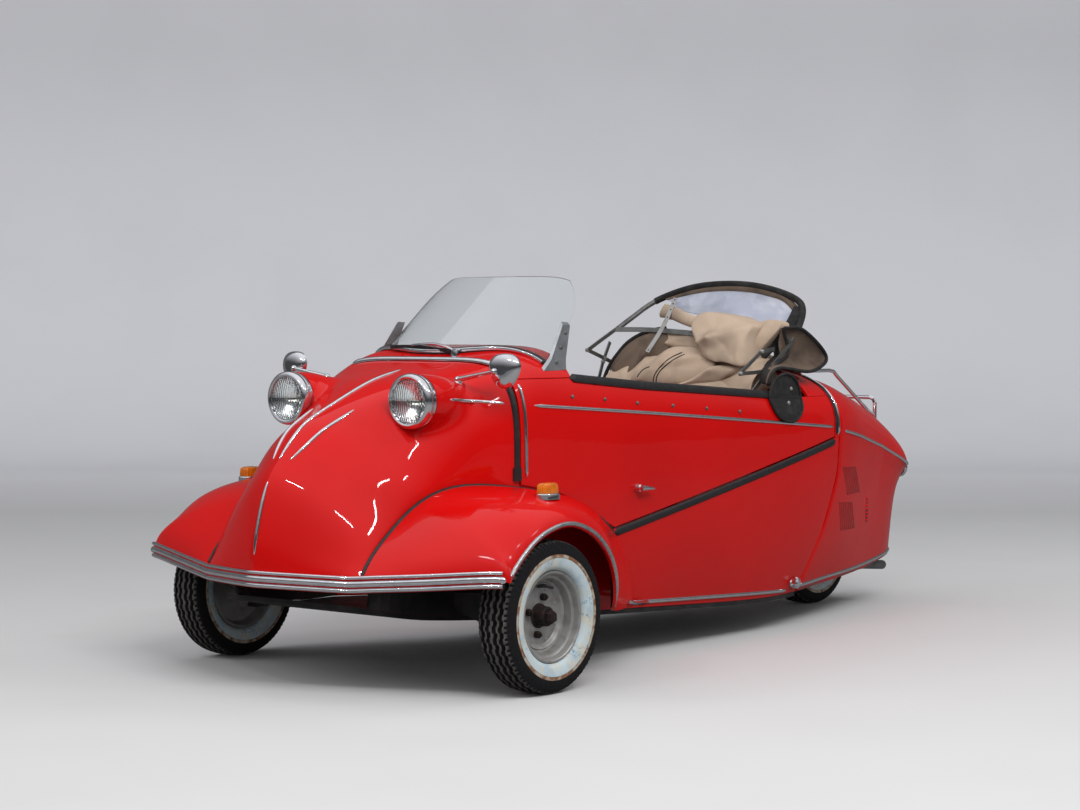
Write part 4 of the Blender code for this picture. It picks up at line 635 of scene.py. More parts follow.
def red_paint():
    """Gloss red with a thin clear coat, faint orange peel and road dust near the ground."""
    def dust(tree, shader, mixed):
        place = add_node(tree, "ShaderNodeTexCoord").outputs["Object"]
        height = add_node(tree, "ShaderNodeSeparateXYZ", {"Vector": place}).outputs["Z"]
        low = ramp(tree, height, 0.10, 0.34, 0.22, 0.0)
        patchy = add_node(tree, "ShaderNodeMath", {0: low, 1: noise(tree, 22.0, 6.0)}, operation="MULTIPLY")
        tree.links.new(blend_colour(tree, patchy.outputs[0], mixed, (0.10, 0.05, 0.035)),
                       shader.inputs["Base Color"])
        shader.inputs["Specular IOR Level"].default_value = 0.02
    red = tuple(colours().red)
    return finish("body_red_paint", red, [c * 0.9 for c in red], scale=3.0, rough=(0.35, 0.45), coat=0.6,
                  bump=0.03, bump_scale=420.0, extra=dust)


def chrome():
    """Bright plating with a faint haze and tiny pits."""
    bright = tuple(colours().chrome)
    return finish("chrome_plate", bright, [c * 0.86 for c in bright], scale=45.0, rough=(0.05, 0.13),
                  metal=1.0, bump=0.04, bump_scale=600.0)


def rubber():
    """Black rubber, greyed a little by age."""
    black = tuple(colours().rubber)
    return finish("old_rubber", black, (0.022, 0.021, 0.021), scale=60.0, rough=(0.45, 0.62), bump=0.15,
                  bump_scale=700.0)


def black_paint_and_shade():
    """Satin black paint of the frame, with brownish dirt; also painted shade in the tail's vent slits
    and the strap's holes.
    """
    return finish("satin_black_and_painted_shade", (0.010, 0.010, 0.011), (0.035, 0.028, 0.022), scale=14.0,
                  rough=(0.45, 0.65), bump=0.1, bump_scale=300.0)


def dull_steel():
    """Galvanised steel, grey and a little blotchy."""
    return finish("dull_steel", (0.23, 0.235, 0.225), (0.13, 0.13, 0.12), scale=26.0, rough=(0.35, 0.55),
                  metal=0.85, bump=0.12, bump_scale=260.0)


def cast_alloy():
    """Cast light alloy with a pebbled skin."""
    return finish("cast_alloy_skin", (0.52, 0.54, 0.56), (0.38, 0.39, 0.40), scale=30.0, rough=(0.32, 0.46),
                  metal=0.9, bump=0.25, bump_scale=380.0)


def rim_silver():
    """Aged silver paint of the wheel discs, browned in patches."""
    return finish("wheel_silver", (0.36, 0.355, 0.34), (0.24, 0.215, 0.185), share=(0.5, 0.8), scale=34.0,
                  rough=(0.32, 0.5), metal=0.55, bump=0.12, bump_scale=330.0)


def rusty():
    """Dark rusted iron of the hub, studs and nuts."""
    return finish("rusty_iron", (0.016, 0.012, 0.011), (0.055, 0.024, 0.015), scale=70.0, rough=(0.65, 0.9),
                  metal=0.3, bump=0.6, bump_scale=420.0, distance=0.001)


def glass(name, tint=(0.93, 0.97, 0.96), rough=0.0, bump=0.0, bump_scale=100.0):
    """Clear glass with a faint ripple."""
    found = bpy.data.materials.get(name)
    if found:
        return found
    made = bpy.data.materials.new(name)
    made.use_nodes = True
    tree = made.node_tree
    shader = tree.nodes["Principled BSDF"]
    tree.links.new(blend_colour(tree, ramp(tree, noise(tree, 9.0), 0.3, 0.7, 0.0, 0.4), tint,
                                [c * 0.96 for c in tint]), shader.inputs["Base Color"])
    shader.inputs["Transmission Weight"].default_value = 1.0
    shader.inputs["Roughness"].default_value = rough
    shader.inputs["IOR"].default_value = 1.45
    if bump > 0:
        bumped = add_node(tree, "ShaderNodeBump", {"Height": noise(tree, bump_scale, 1.0), "Strength": bump,
                                                   "Distance": 0.001})
        tree.links.new(bumped.outputs["Normal"], shader.inputs["Normal"])
    return made


def fluted_glass():
    """Headlamp glass with upright flutes, a wave across the lamp."""
    found = bpy.data.materials.get("fluted_glass")
    if found:
        return found
    made = glass("fluted_glass", (0.96, 0.98, 0.98), 0.02)
    tree = made.node_tree
    shader = tree.nodes["Principled BSDF"]
    place = add_node(tree, "ShaderNodeTexCoord").outputs["Object"]
    wave = add_node(tree, "ShaderNodeTexWave", {"Vector": place, "Scale": 42.0, "Distortion": 0.4},
                    bands_direction="Y")
    bumped = add_node(tree, "ShaderNodeBump", {"Height": wave.outputs["Fac"], "Strength": 0.5,
                                               "Distance": 0.0015})
    tree.links.new(bumped.outputs["Normal"], shader.inputs["Normal"])
    return made


def glow(tree, shader, mixed):
    """Lets some light into a plastic lens."""
    shader.inputs["Transmission Weight"].default_value = 0.35
    shader.inputs["Subsurface Weight"].default_value = 0.2


def tyre_finish():
    """Rubber whose side carries a stained whitewall with a rusty raised ring, by radius; its grooves and
    notches are painted near-black, painted shade.
    """
    found = bpy.data.materials.get("whitewall_tyre")
    if found:
        return found
    made = bpy.data.materials.new("whitewall_tyre")
    made.use_nodes = True
    tree = made.node_tree
    shader = tree.nodes["Principled BSDF"]
    shader.inputs["Specular IOR Level"].default_value = 0.3
    radius = add_node(tree, "ShaderNodeAttribute", attribute_name="radius").outputs["Fac"]
    depth = add_node(tree, "ShaderNodeAttribute", attribute_name="depth").outputs["Fac"]
    wall = tuple(colours().whitewall)
    paper = blend_colour(tree, ramp(tree, noise(tree, 26.0, 6.0), 0.45, 0.62), wall, (0.55, 0.54, 0.46))
    wash = ramp(tree, noise(tree, 17.0, 5.0, rough=0.65), 0.50, 0.72, 0.0, 0.75)
    paper = blend_colour(tree, wash, paper, (0.27, 0.40, 0.50))
    lines = add_node(tree, "ShaderNodeMath", {0: noise(tree, 30.0, 3.0, rough=0.6), 1: 0.5},
                     operation="SUBTRACT")
    thin = add_node(tree, "ShaderNodeMath", {0: lines.outputs[0]}, operation="ABSOLUTE").outputs[0]
    near = ramp(tree, noise(tree, 11.0, 2.0), 0.50, 0.58)
    streak = add_node(tree, "ShaderNodeMath", {0: ramp(tree, thin, 0.004, 0.012, 1.0, 0.0), 1: near},
                      operation="MULTIPLY").outputs[0]
    paper = blend_colour(tree, streak, paper, (0.07, 0.20, 0.36))
    rust = blend_colour(tree, ramp(tree, noise(tree, 55.0, 6.0), 0.44, 0.60), (0.43, 0.37, 0.29),
                        (0.22, 0.10, 0.05))
    rim_line = blend_colour(tree, ramp(tree, radius, 0.1452, 0.1456), paper, (0.10, 0.09, 0.085))
    paper = blend_colour(tree, ramp(tree, radius, 0.1461, 0.1466), rim_line, rust)
    worn = blend_colour(tree, ramp(tree, noise(tree, 90.0, 4.0), 0.4, 0.7), (0.080, 0.073, 0.068),
                        (0.125, 0.115, 0.106))
    # painted shade: the grooves and shoulder notches (the depth attribute) are painted near-black; the grey
    # of the tread face between them is wear
    black = blend_colour(tree, ramp(tree, depth, 0.0001, 0.0009), worn, (0.002, 0.002, 0.002))
    side = blend_colour(tree, ramp(tree, radius, 0.1815, 0.1860), (0.0065, 0.0065, 0.0075), black)
    colour = blend_colour(tree, ramp(tree, radius, 0.1538, 0.1546), paper, side)
    tree.links.new(colour, shader.inputs["Base Color"])
    tree.links.new(ramp(tree, noise(tree, 120.0), 0.3, 0.7, 0.6, 0.82), shader.inputs["Roughness"])
    bumped = add_node(tree, "ShaderNodeBump", {"Height": noise(tree, 300.0, 4.0), "Strength": 0.25,
                                               "Distance": 0.0008})
    tree.links.new(bumped.outputs["Normal"], shader.inputs["Normal"])
    return made


def canvas_cloth():
    """Beige canvas with a woven bump and soft stains."""
    beige = tuple(colours().canvas)
    return finish("hood_canvas", beige, [c * 0.66 for c in beige], share=(0.42, 0.72), scale=7.0,
                  rough=(0.85, 0.95), bump=0.25, bump_scale=900.0)


def black_cloth():
    """The hood's black outer cloth."""
    return finish("hood_black", (0.012, 0.011, 0.011), (0.03, 0.028, 0.027), scale=30.0, rough=(0.7, 0.9),
                  bump=0.3, bump_scale=900.0)


def lining_and_shade_cloth():
    """The brown lining of the hood's ends and bow; on the end patch canvas_end this dark brown is
    painted shade over beige canvas.
    """
    return finish("hood_lining_and_painted_shade", (0.135, 0.095, 0.068), (0.060, 0.042, 0.032), scale=16.0,
                  rough=(0.8, 0.95), bump=0.3, bump_scale=700.0)


def vinyl():
    """Dark grained seat vinyl."""
    dark = tuple(colours().vinyl)
    return finish("grained_vinyl", dark, [c * 1.5 for c in dark], scale=30.0, rough=(0.4, 0.55), bump=0.3,
                  bump_scale=520.0)


def set_stage():
    """Floor, light and the photograph's camera."""
    floor_mesh = bpy.data.meshes.new("floor")
    t = np.linspace(0, math.pi / 2, 24)
    path = np.concatenate([[(20.0, 0.0)], np.stack([-8.0 - 3.0 * np.sin(t), 3.0 - 3.0 * np.cos(t)], -1),
                           [(-11.0, 16.0)]])
    turn = np.array([math.cos(CAMERA_YAW), math.sin(CAMERA_YAW)])
    side = np.array([-turn[1], turn[0]])
    grid = np.array([[(*(d * turn + w * side), h) for w in (-24.0, 24.0)] for d, h in path])
    floor_mesh.from_pydata(grid.reshape(-1, 3).tolist(), [], quads(len(path), 2).tolist())
    floor_mesh.shade_smooth()
    pale = finish("pale_floor", (0.88, 0.88, 0.89), (0.85, 0.85, 0.86), scale=1.2, rough=(0.65, 0.8),
                  bump=0.02)
    tree = pale.node_tree
    shader = tree.nodes["Principled BSDF"]
    ray = add_node(tree, "ShaderNodeLightPath").outputs
    seen = add_node(tree, "ShaderNodeMath", {0: ray["Is Camera Ray"], 1: ray["Is Transmission Ray"]},
                    operation="MAXIMUM").outputs[0]
    place = add_node(tree, "ShaderNodeTexCoord").outputs["Object"]
    toward = add_node(tree, "ShaderNodeVectorMath", {0: place, 1: (float(turn[0]), float(turn[1]), 0.0)},
                      operation="DOT_PRODUCT").outputs["Value"]
    wall = shader.inputs["Base Color"].links[0].from_socket
    shown = blend_colour(tree, ramp(tree, toward, -7.4, -4.6, 1.0, 0.0), (0.60, 0.60, 0.59), wall)
    tree.links.new(blend_colour(tree, seen, (0.22, 0.22, 0.22), shown), shader.inputs["Base Color"])
    floor_mesh.materials.append(pale)
    floor = bpy.data.objects.new("floor", floor_mesh)
    bpy.context.scene.collection.objects.link(floor)
    world = bpy.data.worlds.new("studio")
    bpy.context.scene.world = world
    world.use_nodes = True
    background = world.node_tree.nodes["Background"]
    background.inputs["Color"].default_value = (0.94, 0.95, 1.0, 1.0)
    sky = world.node_tree
    ray = add_node(sky, "ShaderNodeLightPath").outputs["Is Glossy Ray"]
    heading = add_node(sky, "ShaderNodeTexCoord").outputs["Generated"]
    up = add_node(sky, "ShaderNodeSeparateXYZ", {"Vector": heading}).outputs["Z"]
    mirrored = ramp(sky, up, 0.15, 0.80, 0.06, 0.95)
    less = add_node(sky, "ShaderNodeMath", {0: mirrored, 1: 0.72}, operation="SUBTRACT").outputs[0]
    strength = add_node(sky, "ShaderNodeMath", {0: less, 1: ray, 2: 0.72},
                        operation="MULTIPLY_ADD").outputs[0]
    sky.links.new(strength, background.inputs["Strength"])
    lamps = [
        ("key", (2.5, 3.5, 4.2), (0.1, 0.0, 0.3), 110.0, (2.6, 1.6), False),
        ("fill", (4.5, -2.5, 3.2), (0.2, 0.0, 0.4), 45.0, (2.0, 2.0), False),
        ("back", (-3.5, 2.5, 3.4), (-0.6, 0.0, 0.5), 40.0, (2.2, 0.8), False),
        ("tube_1", (3.2, 2.2, 3.6), (0.4, 0.0, 0.3), 16.0, (0.9, 0.07), True),
        ("tube_2", (1.2, 3.4, 3.6), (0.4, 0.0, 0.3), 16.0, (0.9, 0.07), True),
        ("tube_3", (3.9, 0.2, 3.6), (0.6, 0.0, 0.3), 16.0, (0.9, 0.07), True),
        ("tube_4", (-0.8, 3.9, 3.6), (0.0, 0.0, 0.3), 16.0, (0.9, 0.07), True),
    ]
    for name, place, target, power, size, shines in lamps:
        data = bpy.data.lights.new(name, "AREA")
        data.shape = "RECTANGLE"
        data.size, data.size_y = size
        data.energy = power
        lamp = bpy.data.objects.new(name, data)
        lamp.location = place
        lamp.rotation_euler = (Vector(target) - Vector(place)).to_track_quat("-Z", "Y").to_euler()
        lamp.visible_glossy = shines
        bpy.context.scene.collection.objects.link(lamp)
    data = bpy.data.cameras.new("camera")
    data.lens = CAMERA_LENS
    data.sensor_width = 36.0
    data.shift_x, data.shift_y = CAMERA_SHIFT
    data.clip_end = 100.0
    camera = bpy.data.objects.new("camera", data)
    cp, sp = math.cos(CAMERA_PITCH), math.sin(CAMERA_PITCH)
    ahead = Vector((-cp * math.cos(CAMERA_YAW), -cp * math.sin(CAMERA_YAW), -sp))
    camera.location = CAMERA_PLACE
    camera.rotation_euler = ahead.to_track_quat("-Z", "Y").to_euler()
    bpy.context.scene.collection.objects.link(camera)
    bpy.context.scene.camera = camera
    bpy.context.scene.view_settings.view_transform = "Standard"


def panel(name, rows, girths, body, replaces):
    """A red panel: a patch of the fuselage with an even wall inside it."""
    outer = skin(rows, girths)
    away = normal_at(rows, girths)
    return piece(name, shell(outer, away, WALL), red_paint(), body, bevel=sizes().seam_round,
                 replaces=replaces)


def cover_x(z):
    """Length at which the tail cover's front edge crosses height z."""
    return np.interp(z, COVER_EDGE[:, 1], COVER_EDGE[:, 0])


def sill_z(x):
    """Height of the sill at x."""
    return spline_through(STATIONS, row_at(x))[..., 8]


def side_panel(name, side, seam, columns=70, steps=16):
    """A fixed flank from a seam down to the sill, back to the tail cover's slanted edge."""
    def high(x):
        return line_at(seam, x) - LID_GAP / 2

    front = BOW_X - 0.004
    bends = np.concatenate([DOOR_EDGE[1:5, 0], BELT[1:3, 0]])
    mix = np.union1d(np.linspace(0, 1, columns), (bends - front) / (REAR_ARCH_X + COVER_GAP - front))
    row = np.zeros((len(mix), steps))
    girth = np.zeros((len(mix), steps))
    for j, share in enumerate(np.linspace(0, 1, steps)):
        rear_z = (1 - share) * high(cover_x(0.55)) + share * 0.11
        x = front + (cover_x(rear_z) + COVER_GAP - front) * mix
        z = (1 - share) * high(x) + share * sill_z(x)
        row[:, j] = row_at(x)
        girth[:, j] = side * girth_at(x, z)
    return panel(name, row, girth, "body", ["side_left" if side > 0 else "side_right"])


def wing_grid(side, rows=110, steps=26):
    """The wing W(s, a): from its seam to its edge on (sin a)^0.85 outwards and 1 - (cos a)^0.85 down."""
    line = spline_through(WING, np.linspace(0, len(WING) - 1, rows))
    seam = line[:, :3]
    edge = line[:, 3:]
    lean = np.linspace(0, 1, steps)[None, :, None] * math.pi / 2
    out = np.sin(lean) ** 0.85
    down = 1 - np.clip(np.cos(lean), 0, 1) ** 0.85
    grid = np.zeros((rows, steps, 3))
    grid[..., 0:2] = seam[:, None, 0:2] + (edge - seam)[:, None, 0:2] * out
    grid[..., 2:3] = seam[:, None, 2:3] + (edge - seam)[:, None, 2:3] * down
    grid[..., 1] += 0.0006
    away = np.cross(np.gradient(grid, axis=0), np.gradient(grid, axis=1))
    away /= -np.linalg.norm(away, axis=-1)[..., None]
    return grid * [1, side, 1], away * [1, side, 1]


def pod_radius(share):
    """Radius of the pod behind a lamp: R(s) = (r + 1 mm) sqrt(1 - s^2.2), with s = 0 at the lamp and 1 at
    the tip."""
    return (LAMP_RADIUS + 0.001) * np.sqrt(np.clip(1.0004 - share**2.2, 0, None))


def pod_distance(points):
    """How far points lie outside the nearer pod, with a steep rise in front of its face."""
    behind = LAMP[0] - LAMP_BACK - 0.0006 - points[..., 0]
    off_axis = np.hypot(np.abs(points[..., 1]) - LAMP[1], points[..., 2] - LAMP[2])
    outside = off_axis - pod_radius(np.clip(behind / POD_LENGTH, 0, 1))
    past = np.maximum(behind - POD_LENGTH, 0) + 3 * np.maximum(-behind, 0)
    return np.hypot(np.maximum(outside, 0), past) + np.minimum(outside, 0) * (past == 0)


def faired(outer, away, soft=0.034, reach=0.045, step=0.0005):
    """Each P moved to the first P + t N at which the soft minimum of t and the pod's distance reaches
    zero."""
    lift = np.full(outer.shape[:2], reach)
    open_still = np.ones(outer.shape[:2], bool)
    before = np.zeros(outer.shape[:2])
    for t in np.arange(0, reach, step):
        d = pod_distance(outer + t * away)
        h = np.clip(soft - np.abs(t - d), 0, None) / soft
        value = np.minimum(t, d) - h * h * soft / 4
        hit = open_still & (value >= 0)
        lift[hit] = t - (step * value[hit] / (value[hit] - before[hit]) if t > 0 else 0)
        open_still &= ~hit
        before = value
    return outer + lift[..., None] * away


def body_panels():
    """Nose with its two lamp pods, wings, flanks and the fixed arch."""
    arc = np.linspace(-1, 1, 131)
    arc = np.sign(arc) * np.abs(arc) ** 0.9
    lean = np.where(np.abs(arc) == 1, arc * 1.01, arc)
    rows = np.linspace(BOW_ROW + 0.02, LIP_ROW, 100)
    away = normal_at(rows[:, None], lean[None, :])
    outer = faired(skin(rows[:, None], arc[None, :]), away)
    nose = piece("nose_panel", shell(outer, away, WALL), red_paint(), "body", bevel=sizes().seam_round,
                 replaces=["nose_shell"])
    blacken_inside(nose, (len(rows) - 1) * (len(arc) - 1))
    share = np.linspace(0, 1, 40)
    along_axis = -LAMP_BACK - 0.0006 - POD_LENGTH * share
    pod = np.concatenate([[[along_axis[0], 0.001]], np.stack([along_axis, pod_radius(share)], -1)])
    for side, tag in SIDES:
        piece("lamp_pod_" + tag, turned(pod, (LAMP[0], side * LAMP[1], LAMP[2]), (1, 0, 0), 96),
              red_paint(), "body")
        grid, away = wing_grid(side)
        wing = piece("wing_panel_" + tag, shell(grid, away, WING_WALL), red_paint(), "body",
                     bevel=sizes().seam_round, replaces=["wing_" + tag])
        blacken_inside(wing, (grid.shape[0] - 1) * (grid.shape[1] - 1))
    side_panel("flank_left", 1, DOOR_EDGE)
    side_panel("flank_right", -1, BELT)
    rear = REAR_ARCH_X + LID_GAP
    xs = np.linspace(rear + HOOP_WIDTH, rear, 5)
    left = girth_at(xs, line_at(DOOR_EDGE, xs) - LID_GAP / 2 + 0.0009)
    right = girth_at(xs, line_at(BELT, xs) - LID_GAP / 2 + 0.0009)
    mix = np.linspace(0, 1, 120)[None, :]
    girth = left[:, None] * (1 - mix) - right[:, None] * mix
    panel("arch_panel", np.repeat(row_at(xs)[:, None], 120, 1), girth, "body", [])


def lid_panels():
    """Cowl, door, rail and rear deck of the lid's ring round the cockpit."""
    front = BOW_X - LID_GAP
    rear = REAR_ARCH_X + HOOP_WIDTH + 2 * LID_GAP
    for name, node, side, table in (("door_panel", "lid_door", 1, DOOR_EDGE),
                                    ("rail_panel", "lid_rail", -1, BELT)):
        xs = np.union1d(np.linspace(rear, front, 80), np.concatenate([DOOR_EDGE[1:5, 0], RIM[:, 0]]))
        mix = np.linspace(0, 1, 16)[None, :]
        high = girth_at(xs, line_at(RIM, xs) - 0.0003)
        low = girth_at(xs, line_at(table, xs) + LID_GAP / 2)
        girth = high[:, None] * (1 - mix) + low[:, None] * mix
        panel(name, np.repeat(row_at(xs)[:, None], 16, 1), side * girth, "lid",
              [node] if side > 0 else [])
    across = np.linspace(1, -1, 120)
    for name, node, start, end, lift in (("cowl_panel", "lid_cowl", COCKPIT_FRONT_X, front, 0.0009),
                                         ("deck_panel", "lid_rear_deck", rear, COCKPIT_REAR_X, 0.0003)):
        xs = np.linspace(start, end, 24)
        edge = girth_at(xs, line_at(RIM, xs) + lift)
        panel(name, np.repeat(row_at(xs)[:, None], 120, 1), edge[:, None] * across[None, :], "lid", [node])


def tail_grid(columns=105, rows=72):
    """The tail's outer grid from its slanted front edge to the stern, then round the stern's depth."""
    across = np.linspace(2, -2, columns)
    front = np.full(across.shape, REAR_ARCH_X)
    for _ in range(8):
        z = skin(row_at(front), across)[:, 2]
        front = np.where(np.abs(across) > 1, cover_x(z), REAR_ARCH_X)
    mix = 1 - (1 - np.linspace(0, 1, rows)[:, None]) ** 1.3
    grid = skin(row_at(front)[None, :] * (1 - mix), across[None, :])
    turns = np.radians(np.linspace(0, 90, 8)[1:])[:, None]
    round_stern = np.repeat(grid[-1][None], len(turns), 0)
    round_stern[..., 1] *= np.cos(turns)
    round_stern[..., 0] -= STERN_DEPTH * np.sin(turns)
    return np.concatenate([grid, round_stern])


def tail_panel():
    """The tail cover as one thin shell."""
    grid = tail_grid()
    rows, cols = grid.shape[:2]
    obj = piece("tail_panel", (grid.reshape(-1, 3), quads(rows, cols).tolist()), red_paint(), "tail",
                angle=40, weld=1e-4)
    middle = obj.data.polygons[(rows // 3) * (cols - 1) + cols // 2]
    if middle.normal.z < 0:
        obj.data.flip_normals()
    solid = obj.modifiers.new("wall", "SOLIDIFY")
    solid.thickness = 0.006
    solid.offset = -1.0


def strip(name, path, normal, material, body, width=None, height=None, taper=0.012):
    """A half-round strip along a line on the skin."""
    section = half_round(width or sizes().strip_width, height or sizes().strip_height)
    return piece(name, swept(path, normal, section, taper), material, body)


def on_flank(points, side=1, count=60):
    """Places and normals of an x-z line on a flank."""
    line = np.asarray(points, float)
    share = np.concatenate([[0], np.cumsum(np.linalg.norm(np.diff(line, axis=0), axis=1))])
    at = np.linspace(0, share[-1], count)
    x = np.interp(at, share, line[:, 0])
    z = np.interp(at, share, line[:, 1])
    row = row_at(x)
    girth = side * girth_at(x, z)
    return skin(row, girth), normal_at(row, girth)


def bumper():
    """Three bright ribs of their own widths with red grooves along the lip of the nose and both wings."""
    lip = skin(np.full(40, float(LIP_ROW)), np.linspace(0, 0.93, 40))
    edge = spline_through(WING, np.linspace(0.0, 2.1, 40))[:, 3:]
    half = np.concatenate([lip, edge])
    half = half[np.concatenate([[True], np.linalg.norm(np.diff(half, axis=0), axis=1) > 0.004])]
    half[:, 2] += 0.004
    path = np.concatenate([half[:0:-1] * [1, -1, 1], half])
    kernel = np.ones(5) / 5
    inner = np.stack([np.convolve(path[:, k], kernel, "valid") for k in range(3)], -1)
    path = np.concatenate([path[:2], inner, path[-2:]])
    step = np.gradient(path, axis=0)
    away = np.stack([step[:, 1], -step[:, 0], np.zeros(len(path))], -1)
    away /= np.linalg.norm(away, axis=1)[:, None]
    rib = sizes().bumper_rib
    back = [(-0.021, 0.0005), (0.021, 0.0005), (0.021, 0.005), (-0.021, 0.005)]
    piece("bumper_back", swept(path, away, back), red_paint(), "body", replaces=["bumper_trim"])
    ribs = []
    for level, share, high in ((-0.0145, 1.10, 0.007), (0.0015, 1.55, 0.0085), (0.0170, 0.85, 0.0065)):
        ribs.append(swept(path + np.array([0, 0, level]) + away * 0.004, away,
                          half_round(rib * share, high, 0.0)))
    piece("bumper_ribs", together(*ribs), chrome(), "body")
    ends = [ball(path[k] + away[k] * 0.005, 0.0085, 18) for k in (-1, 0)]
    piece("bumper_ends", together(*ends), chrome(), "body")


def nose_strips():
    """The bright strips on the nose, the cowl arc, the arch's strips, the belt, shoulder and sill
    strips."""
    tree = search_tree("nose_panel", "lamp_pod_left")
    metal = chrome()
    lines = (("crest_strip", [(0.864, 0.0), (1.02, 0.0), (1.15, 0.0), (1.25, 0.0), (1.306, 0.0)], "down"),
             ("crest_strip_left", [(1.115, 0.072), (1.17, 0.066), (1.22, 0.058), (1.262, 0.046),
                                   (1.298, 0.030)], "down"),
             ("crest_strip_right", [(1.115, -0.072), (1.17, -0.066), (1.22, -0.058), (1.262, -0.046),
                                    (1.298, -0.030)], "down"),
             ("lip_strip", [(0.0, 0.518), (0.0, 0.46), (0.0, 0.40), (0.0, 0.341)], "back"))
    for name, points, way in lines:
        flat = smooth_path(points, 60)
        if way == "down":
            starts = np.column_stack([flat, np.full(60, 2.0)])
            path, normal = dropped(tree, starts, (0, 0, -1))
        else:
            starts = np.column_stack([np.full(60, 2.0), flat])
            path, normal = dropped(tree, starts, (-1, 0, 0))
        strip(name, path, normal, metal, "body", taper=0.05)
    row = row_at(np.full(90, BOW_X - 0.013))
    girth = np.linspace(-0.295, 0.295, 90)
    strip("cowl_arc", skin(row, girth), normal_at(row, girth), metal, "lid", width=0.018, height=0.008,
          taper=0.02)
    start = dropped(tree, [(0.985, 1.0, 0.716), (0.93, 1.0, 0.713), (0.88, 1.0, 0.7095),
                           (0.824, 1.0, 0.7045)], (0, -1, 0))
    places = smooth_path(start[0], 40)
    normals = smooth_path(start[1], 40)
    strip("belt_nose_left", places, normals, metal, "body")
    strip("belt_nose_right", places * [1, -1, 1], normals * [1, -1, 1], metal, "body")
    path, normal = on_flank([(0.730, 0.697), (0.272, 0.666), (-0.202, 0.631), (-0.656, 0.597)])
    strip("belt_door", path, normal, metal, "lid")
    path, normal = on_flank([(0.730, 0.712), (0.272, 0.685), (-0.202, 0.650), (-0.656, 0.616)], -1)
    strip("belt_rail", path, normal, metal, "lid")
    for name, x, wide, material, slot in (("arch_rubber", -0.6755, 0.013, rubber(), "rubber"),
                                          ("arch_chrome", -0.6885, 0.009, metal, "chrome")):
        left = float(girth_at(x, 0.572))
        right = float(girth_at(x, 0.628))
        girth = np.linspace(left, -right, 110)
        row = np.full(110, float(row_at(x)))
        strip(name, skin(row, girth), normal_at(row, girth), material, "body", width=wide, height=0.005)
    for side, tag in SIDES:
        shoulder = [(-0.735, 0.582), (-0.87, 0.562), (-1.10, 0.519), (-1.27, 0.474), (-1.365, 0.444)]
        path, normal = on_flank(shoulder, side, 90)
        strip("shoulder_strip_" + tag, path, normal, metal, "tail")
        sill = [(0.318, 0.151), (-0.470, 0.115)]
        path, normal = on_flank(sill, side)
        strip("sill_strip_" + tag, path, normal, metal, "body", width=0.012)
        rear = np.linspace(-0.555, -1.365, 90)
        row = row_at(rear)
        girth = np.full(90, 1.965) * side
        strip("tail_strip_" + tag, skin(row, girth), normal_at(row, girth), metal, "tail", width=0.012)


def seals():
    """Rubber along the cockpit's rim, the slanted door seam and the door's front edge; studs below the
    rim."""
    black = rubber()
    rim_x = np.linspace(COCKPIT_FRONT_X + 0.006, -0.505, 90)
    band = [(-0.012, -0.001), (0.012, -0.001), (0.012, 0.004), (0.007, 0.0075), (-0.006, 0.0075),
            (-0.012, 0.003)]
    for side, tag in SIDES:
        row = row_at(rim_x)
        girth = side * girth_at(rim_x, line_at(RIM, rim_x) - 0.001)
        piece("rim_rubber_" + tag, swept(skin(row, girth), normal_at(row, girth), band, 0.01), black, "lid")
    slant_x = np.linspace(0.412, -0.668, 90)
    path, normal = on_flank([(x, line_at(DOOR_EDGE, x) - 0.012) for x in slant_x], 1, 90)
    obj = strip("slant_rubber", path, normal, black, "body", width=0.021, height=0.0055)
    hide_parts("door_seal")
    path, normal = on_flank([(0.768, 0.752), (0.766, 0.62), (0.763, 0.512)], 1)
    strip("door_front_chrome", path, normal, chrome(), "lid", width=0.010, height=0.006)
    starts = [(0.7985, 1.0, z) for z in np.linspace(0.765, 0.506, 40)]
    path, normal = dropped(search_tree("nose_panel"), starts, (0, -1, 0))
    strip("door_front_rubber", path, normal, black, "body", width=0.0175, height=0.0065)
    foot = path[-6:] + normal[-6:] * 0.001
    strip("door_front_foot", foot, normal[-6:], black, "body", width=0.026, height=0.009, taper=0.0)
    studs = []
    for x, z in ((0.576, 0.716), (0.446, 0.706), (0.312, 0.693), (0.159, 0.682), (0.006, 0.670),
                 (-0.152, 0.657)):
        row = row_at(x)
        girth = girth_at(x, z)
        studs.append(turned([(0.0, 0.0052), (0.0025, 0.005), (0.0042, 0.0035), (0.005, 0.0008)],
                            skin(row, girth), normal_at(row, girth), 16))
    piece("rim_studs", together(*studs), dull_steel(), "lid")


def arch_beads():
    """A grey bead round each wheel arch above its red lip, a clip at its foot, and dark beads in the
    wings' seams."""
    grey = finish("bead_alloy", (0.52, 0.53, 0.54), (0.38, 0.38, 0.39), scale=40.0, rough=(0.22, 0.36),
                  metal=0.9, bump=0.05)
    clip = smooth_path([(0.470, 0.455, 0.176), (0.400, 0.423, 0.163), (0.320, 0.385, 0.154),
                        (0.250, 0.350, 0.148)], 40)
    for side, tag in SIDES:
        grid, away = wing_grid(side, 150)
        edge = grid[38:136, -2]
        out = away[38:136, -2]
        piece("arch_bead_" + tag, swept(edge, out, half_round(0.011, 0.006, 0.002), 0.01), grey, "body")
        seam = grid[3:132, 0]
        lift = away[3:132, 0] + np.array([0, side * 0.6, 0.3])
        lift /= np.linalg.norm(lift, axis=1)[:, None]
        piece("wing_bead_" + tag, swept(seam, lift, half_round(0.010, 0.0035)), rubber(), "body")
        normal = np.repeat([[0.2, side * 0.85, 0.1]], 40, 0)
        piece("arch_clip_" + tag, swept(clip * [1, side, 1], normal, half_round(0.011, 0.006, 0.002), 0.01),
              chrome(), "body")


